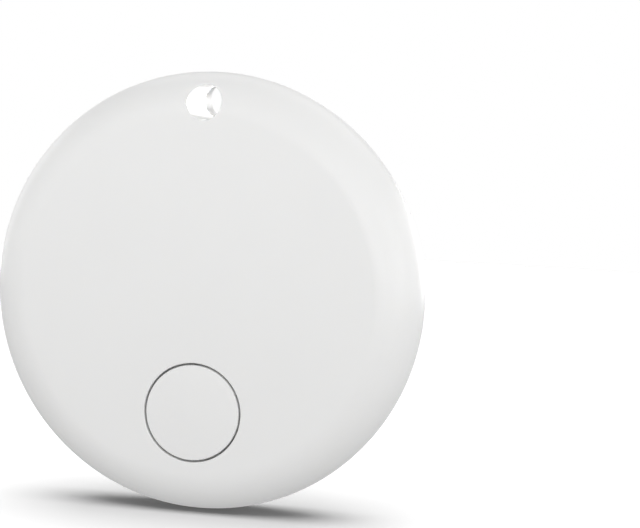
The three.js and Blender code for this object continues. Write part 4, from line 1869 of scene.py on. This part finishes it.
@dataclass
class CircuitBoard:
    """The round board and the parts on its front.

    Attributes:
        layout: shared places.
        palette: the finishes.
        edge: rounding of the board's edge.
        bare: how far the bare laminate shows in from that rounding.
    """

    layout: Layout
    palette: Palette
    edge: float = 0.03
    bare: float = 0.005

    def parts(self) -> list[BoardPart]:
        """Every part on the board."""
        look = self.palette
        chips = (
            "supply_capacitor", "radio_capacitor", "crystal_capacitor", "buzzer_capacitor", "antenna_coil"
        )
        return [
            BoardPart("radio_chip", Package.LEADLESS, "chip_resin", look.resin, 8),
            BoardPart("motion_sensor", Package.LEADLESS, "chip_resin", look.resin, 3),
            BoardPart("main_crystal", Package.LIDDED, "crystal_steel", look.lid),
            BoardPart("clock_crystal", Package.LIDDED, "crystal_steel", look.lid),
            BoardPart("antenna_chip", Package.CHIP, "antenna_ceramic", look.ceramic),
            BoardPart("buzzer_coil", Package.COIL, "coil_ferrite", look.ferrite),
            *(BoardPart(node, Package.CHIP, "capacitor_ceramic", look.capacitor) for node in chips),
        ]

    def build(self) -> None:
        """Build the board and its parts."""
        self.board()
        makers = {
            Package.LEADLESS: self.leadless,
            Package.LIDDED: self.lidded,
            Package.CHIP: self.chip,
            Package.COIL: self.coil,
        }
        for part in self.parts():
            makers[part.package](part, Extent.of(part.node))

    def board(self) -> None:
        """Cut the board to a disc and drill it."""
        box, lay = Extent.of("circuit_board"), self.layout
        radius = box.size.x / 2
        made = turned(rounded([
            Corner(0, box.low.y), Corner(radius, box.low.y, self.edge),
            Corner(radius, box.high.y, self.edge), Corner(0, box.high.y),
        ], 2), lay.axis, lay.around)
        lay.drill(made, box.low.y - PAST, box.high.y + PAST)
        look = Laminate(
            "board_laminate", (0.01, 0.1, 0.04), 0.32, 0.05, 0.1, 9000, 3e-6, 0.3, 0.1,
            edge=radius - self.edge - self.bare, centre=lay.axis.z,
        )
        deliver(made, Piece("board", Body.CASE, "board_laminate", look, ("circuit_board",)))

    def place(self, solid: Solid, part: BoardPart) -> None:
        """Dress a part's block and put it in for its CAD node."""
        name = f"{part.node}_block"
        deliver(solid, Piece(name, Body.CASE, part.slot, part.finish, (part.node,)))

    def metal(self, solid: Solid, part: BoardPart) -> None:
        """Dress a part's tinned ends or pads."""
        deliver(solid, Piece(f"{part.node}_ends", Body.CASE, "contact_nickel", self.palette.solder))

    def leadless(self, part: BoardPart, box: Extent) -> None:
        """A resin block with a pin mark, and pads round its foot.

        Args:
            part: the part.
            box: its box.
        """
        inset, standoff, mark_depth, pad_height, pad_length = 0.03, 0.02, 0.05, 0.12, 0.35
        low, high = box.low, box.high
        body = block((low.x + inset, low.y, low.z + inset),
                     (high.x - inset, high.y - standoff, high.z - inset), 0.06, 3)
        mark = min(box.size.x, box.size.z) / 12
        at = Vector((low.x + 3.5 * mark, 0, high.z - 3.5 * mark))
        change(body, rod(mark, low.y - PAST, low.y + mark_depth, at, 24))
        self.place(body, part)
        pads: list[Solid] = []
        foot, half = high.y - pad_height, 0.22 * box.size.x / part.pads
        for i in range(part.pads):
            share = (i + 0.5) / part.pads
            x = low.x + box.size.x * (0.1 + 0.8 * share)
            pads.append(block((x - half, foot, low.z), (x + half, high.y, high.z)))
        made = pads.pop()
        for pad in pads:
            change(made, pad, Cut.JOIN)
        change(made, block((low.x - PAST, foot - PAST, low.z + pad_length),
                           (high.x + PAST, high.y + PAST, high.z - pad_length)))
        self.metal(made, part)

    def lidded(self, part: BoardPart, box: Extent) -> None:
        """A seam-welded lid on its base.

        Args:
            part: the part.
            box: its box.
        """
        base, inset, overlap = box.high.y - 0.4 * box.size.y, 0.12, 0.1
        body = block((box.low.x, base, box.low.z), box.high, 0.05)
        lid = block((box.low.x + inset, box.low.y, box.low.z + inset),
                    (box.high.x - inset, base + overlap, box.high.z - inset), 0.1, 4)
        self.place(change(body, lid, Cut.JOIN), part)

    def chip(self, part: BoardPart, box: Extent) -> None:
        """A ceramic block and the tinned ends that wrap round it.

        Args:
            part: the part.
            box: its box.
        """
        along = Vector((1, 0, 0)) if box.size.x > box.size.z else Vector((0, 0, 1))
        length = box.size.dot(along)
        end, inset = 0.24 * min(length, 2.0), 0.03  # an end's width, and how far the ends stand proud
        shrink = Vector((inset, inset, inset))
        self.place(block(box.low + shrink, box.high - shrink, 0.04), part)
        first = block(box.low, box.high - along * (length - end), 0.05)
        last = block(box.low + along * (length - end), box.high, 0.05)
        self.metal(change(first, last, Cut.JOIN), part)

    def coil(self, part: BoardPart, box: Extent) -> None:
        """A ferrite block with a sunk ring of winding, between tinned ends.

        Args:
            part: the part.
            box: its box.
        """
        inset, deep, end, height = 0.04, 0.25, 0.5, 0.2
        low, high = box.low, box.high
        body = block((low.x + inset, low.y, low.z + inset),
                     (high.x - inset, high.y - inset, high.z - inset), 0.25, 3)
        axis, ring = Vector((box.centre.x, 0, box.centre.z)), 0.36 * box.size.x
        above, floor, hub = low.y - PAST, low.y + deep, 0.6 * ring
        trench = turned([(hub, above), (ring, above), (ring, floor), (hub, floor)], axis, 48)
        self.place(change(body, trench), part)
        foot = high.y - height
        first = block((low.x, foot, low.z + end), (low.x + end, high.y, high.z - end), 0.03)
        last = block((high.x - end, foot, low.z + end), (high.x, high.y, high.z - end), 0.03)
        self.metal(change(first, last, Cut.JOIN), part)


# ---- Stage ----


def bearing(azimuth: float, elevation: float) -> Vector:
    """Direction from the tag to a place round it.

    Args:
        azimuth: degrees round the tag from -Y towards +X.
        elevation: degrees above the horizon.

    Returns:
        The direction, one long.
    """
    around, up = math.radians(azimuth), math.radians(elevation)
    return Vector((math.sin(around) * math.cos(up), -math.cos(around) * math.cos(up), math.sin(up)))


def hang(data: bpy.types.Light, target: Vector, back: Vector, reach: float) -> bpy.types.Object:
    """Hang a light that the camera doesn't see.

    Args:
        data: the light.
        target: the point that it looks at, in metres.
        back: direction from that point to the light.
        reach: distance between them in metres.

    Returns:
        The light's object.
    """
    made = bpy.data.objects.new(data.name, data)
    bpy.context.scene.collection.objects.link(made)
    made.location = target + back * reach
    made.rotation_mode = "QUATERNION"
    made.rotation_quaternion = back.to_track_quat("Z", "Y")
    made.visible_camera = False
    return made


@dataclass(frozen=True)
class Softbox:
    """An area light that looks at the tag.

    Attributes:
        name: the light's name.
        azimuth: degrees round the tag from -Y towards +X.
        elevation: degrees above the horizon.
        reach: distance from the tag in metres.
        width: width of the light in metres.
        height: height of the light in metres.
        radiance: how bright its face is.
    """

    name: str
    azimuth: float
    elevation: float
    reach: float
    width: float
    height: float
    radiance: float

    def build(self, target: Vector) -> bpy.types.Object:
        """Hang the light.

        Args:
            target: the point that it looks at, in metres.

        Returns:
            The light.
        """
        data = bpy.data.lights.new(self.name, "AREA")
        data.shape = "RECTANGLE"
        data.size, data.size_y = self.width, self.height
        data.energy = self.radiance * self.width * self.height * math.pi
        return hang(data, target, bearing(self.azimuth, self.elevation), self.reach)


@dataclass
class Stage:
    """Floor, surroundings, lights and camera.

    Attributes:
        layout: shared places.
        azimuth: degrees from -Y towards +X at which the camera stands.
        elevation: degrees above the horizon at which it stands.
        roll: degrees by which it is turned about its view.
        distance: how far it stands from the tag, in millimetres.
        lens: its focal length in millimetres.
        sensor: width of its sensor in millimetres.
        aim: how far right of the disc's axis and above it the camera aims, in millimetres.
        ambient: brightness of the surroundings as light.
        floor_radius: radius of the floor in metres.
        floor_seen: how pale the floor is to the camera.
        floor_glow: brightness of the floor to everything else.
        hole_azimuth: degrees from -Y towards +X at which the hole's lamp stands.
        hole_reach: how far it stands from the rear of the hole, in metres.
        hole_cone: width of its beam in degrees, which fills the hole and no more.
        hole_power: its power in watts.
    """

    layout: Layout
    azimuth: float = 15.9
    elevation: float = 5.9
    roll: float = 2.1
    distance: float = 200.0
    lens: float = 129.4
    sensor: float = 36.0
    aim: tuple[float, float] = (9.63, 2.35)
    ambient: float = 0.62
    floor_radius: float = 0.26
    floor_seen: float = 0.2
    floor_glow: float = 0.52
    hole_azimuth: float = 164.0
    hole_reach: float = 0.165
    hole_cone: float = 1.0
    hole_power: float = 5.0

    def lights(self) -> list[Softbox]:
        """The softboxes."""
        return [
            Softbox("front", 0, 15, 0.5, 0.45, 0.4, 0.5),
            Softbox("front_left", -35, 15, 0.5, 0.3, 0.4, 0.5),
            Softbox("front_right", 40, 15, 0.5, 0.3, 0.4, 0.6),
            Softbox("beside_camera", 16, 6, 0.6, 0.3, 0.25, 1.0),
            Softbox("low_front", 10, 1, 0.5, 0.5, 0.1, 0.85),
            Softbox("low_left", -50, 1, 0.5, 0.4, 0.12, 0.5),
            Softbox("low_far_left", -85, 1, 0.5, 0.3, 0.12, 0.35),
            Softbox("low_right", 60, 1, 0.5, 0.4, 0.12, 1.0),
            Softbox("left", -70, 8, 0.5, 0.25, 0.4, 0.5),
            Softbox("far_left", -95, 5, 0.5, 0.15, 0.4, 0.35),
            Softbox("back_left", -120, 5, 0.5, 0.2, 0.4, 1.05),
            Softbox("right", 72, 8, 0.5, 0.25, 0.4, 1.05),
            Softbox("side_right", 90, 5, 0.5, 0.15, 0.4, 0.75),
            Softbox("far_right", 110, 5, 0.5, 0.15, 0.4, 1.1),
            Softbox("back_right", 135, 2, 0.5, 0.25, 0.4, 1.0),
            Softbox("back", 157, -3, 0.45, 0.22, 0.22, 2.8),
            Softbox("behind_left", 200, -2, 0.45, 0.3, 0.3, 0.8),
            Softbox("high_back", 180, 50, 0.5, 0.6, 0.3, 0.6),
        ]

    def build(self) -> None:
        """Set the stage."""
        scene = bpy.context.scene
        scene.view_settings.view_transform = "Standard"
        self.surroundings()
        self.floor()
        for light in self.lights():
            light.build(self.layout.axis * MM)
        self.camera()

    def hole_lamp(self) -> None:
        """A narrow lamp that shines through the key ring hole from behind, onto the front case alone."""
        shell = bpy.data.collections.new("front_case_only")
        shell.objects.link(bpy.data.objects["front_case"])
        data = bpy.data.lights.new("hole_lamp", "SPOT")
        data.energy = self.hole_power
        data.spot_size, data.spot_blend = math.radians(self.hole_cone), 0.0
        data.shadow_soft_size = 0.0
        mouth = Vector((self.layout.hole.x, self.layout.rear, self.layout.hole.z)) * MM
        made = hang(data, mouth, bearing(self.hole_azimuth, 0), self.hole_reach)
        made.light_linking.receiver_collection = made.light_linking.blocker_collection = shell

    def surroundings(self) -> None:
        """A white sweep: bright to the camera, softer as light."""
        world = bpy.data.worlds.new("sweep")
        bpy.context.scene.world = world
        world.use_nodes = True
        world.node_tree.nodes.clear()
        graph = Graph(world.node_tree)
        seen, light = graph.node("ShaderNodeBackground"), graph.node("ShaderNodeBackground")
        seen.inputs["Color"].default_value = light.inputs["Color"].default_value = (1, 1, 1, 1)
        seen.inputs["Strength"].default_value = 1.0
        light.inputs["Strength"].default_value = self.ambient
        mix, path = graph.node("ShaderNodeMixShader"), graph.node("ShaderNodeLightPath")
        graph.link(path.outputs["Is Camera Ray"], mix.inputs[0])
        graph.link(light.outputs[0], mix.inputs[1])
        graph.link(seen.outputs[0], mix.inputs[2])
        graph.link(mix.outputs[0], graph.node("ShaderNodeOutputWorld").inputs["Surface"])

    def floor(self) -> None:
        """A round sheet of pale card that the tag stands on."""
        mesh = bmesh.new()
        ground = self.layout.axis.z - self.layout.radius
        bmesh.ops.create_circle(
            mesh, cap_ends=True, radius=self.floor_radius / MM, segments=128,
            matrix=Matrix.Translation((0, 0, ground)),
        )
        made = solid_of(mesh, "floor")
        made.data.transform(Matrix.Scale(MM, 4))
        pale = (self.floor_seen,) * 3
        card = Finish("pale_card", pale, 0.8, 0.03, 0.01, 1500, 2e-6, 0.0, 0.0).material()
        self.light_table(card)
        made.data.materials.append(card)
        lit = bpy.data.collections.new("floor_only")
        lit.objects.link(made)
        lamp = Softbox("floor_lamp", 0, 90, 1.0, 1.6, 1.6, 12.0).build(self.layout.axis * MM)
        lamp.light_linking.receiver_collection = lit

    def light_table(self, card: bpy.types.Material) -> None:
        """Make a card shine evenly on everything but the camera, which sees the card itself.

        Args:
            card: the card's material.
        """
        graph = Graph(card.node_tree)
        shader = next(node for node in card.node_tree.nodes if node.type == "BSDF_PRINCIPLED")
        output = next(node for node in card.node_tree.nodes if node.type == "OUTPUT_MATERIAL")
        shader.inputs["Specular IOR Level"].default_value = 0.1
        glow = graph.node("ShaderNodeEmission")
        glow.inputs["Strength"].default_value = self.floor_glow
        mix, path = graph.node("ShaderNodeMixShader"), graph.node("ShaderNodeLightPath")
        graph.link(path.outputs["Is Camera Ray"], mix.inputs[0])
        graph.link(glow.outputs[0], mix.inputs[1])
        graph.link(shader.outputs[0], mix.inputs[2])
        graph.link(mix.outputs[0], output.inputs["Surface"])

    def camera(self) -> None:
        """Place the camera a little to the right of the tag's face, looking slightly down."""
        around, back = math.radians(self.azimuth), bearing(self.azimuth, self.elevation)
        side = Vector((math.cos(around), math.sin(around), 0))
        rise = back.cross(side)
        turn = math.radians(self.roll)
        right = side * math.cos(turn) + rise * math.sin(turn)
        above = rise * math.cos(turn) - side * math.sin(turn)
        place = self.layout.axis + back * self.distance
        aim = self.layout.axis + right * self.aim[0] + above * self.aim[1]
        away = (place - aim).normalized()
        right = above.cross(away).normalized()
        above = away.cross(right)
        data = bpy.data.cameras.new("camera")
        data.lens, data.sensor_width = self.lens, self.sensor
        data.clip_start, data.clip_end = 0.01, 10.0
        made = bpy.data.objects.new("camera", data)
        bpy.context.scene.collection.objects.link(made)
        facing = Matrix((right, above, away)).transposed().to_4x4()
        made.matrix_world = Matrix.Translation(place * MM) @ facing
        bpy.context.scene.camera = made


def main() -> None:
    """Build the stage and every sub-assembly in order. The hole's lamp needs the front case to light."""
    logging.basicConfig(level=logging.INFO, format="%(name)s: %(message)s")
    layout, palette = Layout.from_frame(), Palette()
    stage = Stage(layout)
    stage.build()
    FrontCase(layout, palette).build()
    stage.hole_lamp()
    RearCover(layout, palette).build()
    PushButton(layout, palette).build()
    TactSwitch(palette).build()
    BatteryBay(layout, palette).build()
    CoinCell(layout, palette).build()
    Contacts(palette).build()
    Buzzer(palette).build()
    CircuitBoard(layout, palette).build()


if __name__ == "__main__":
    main()
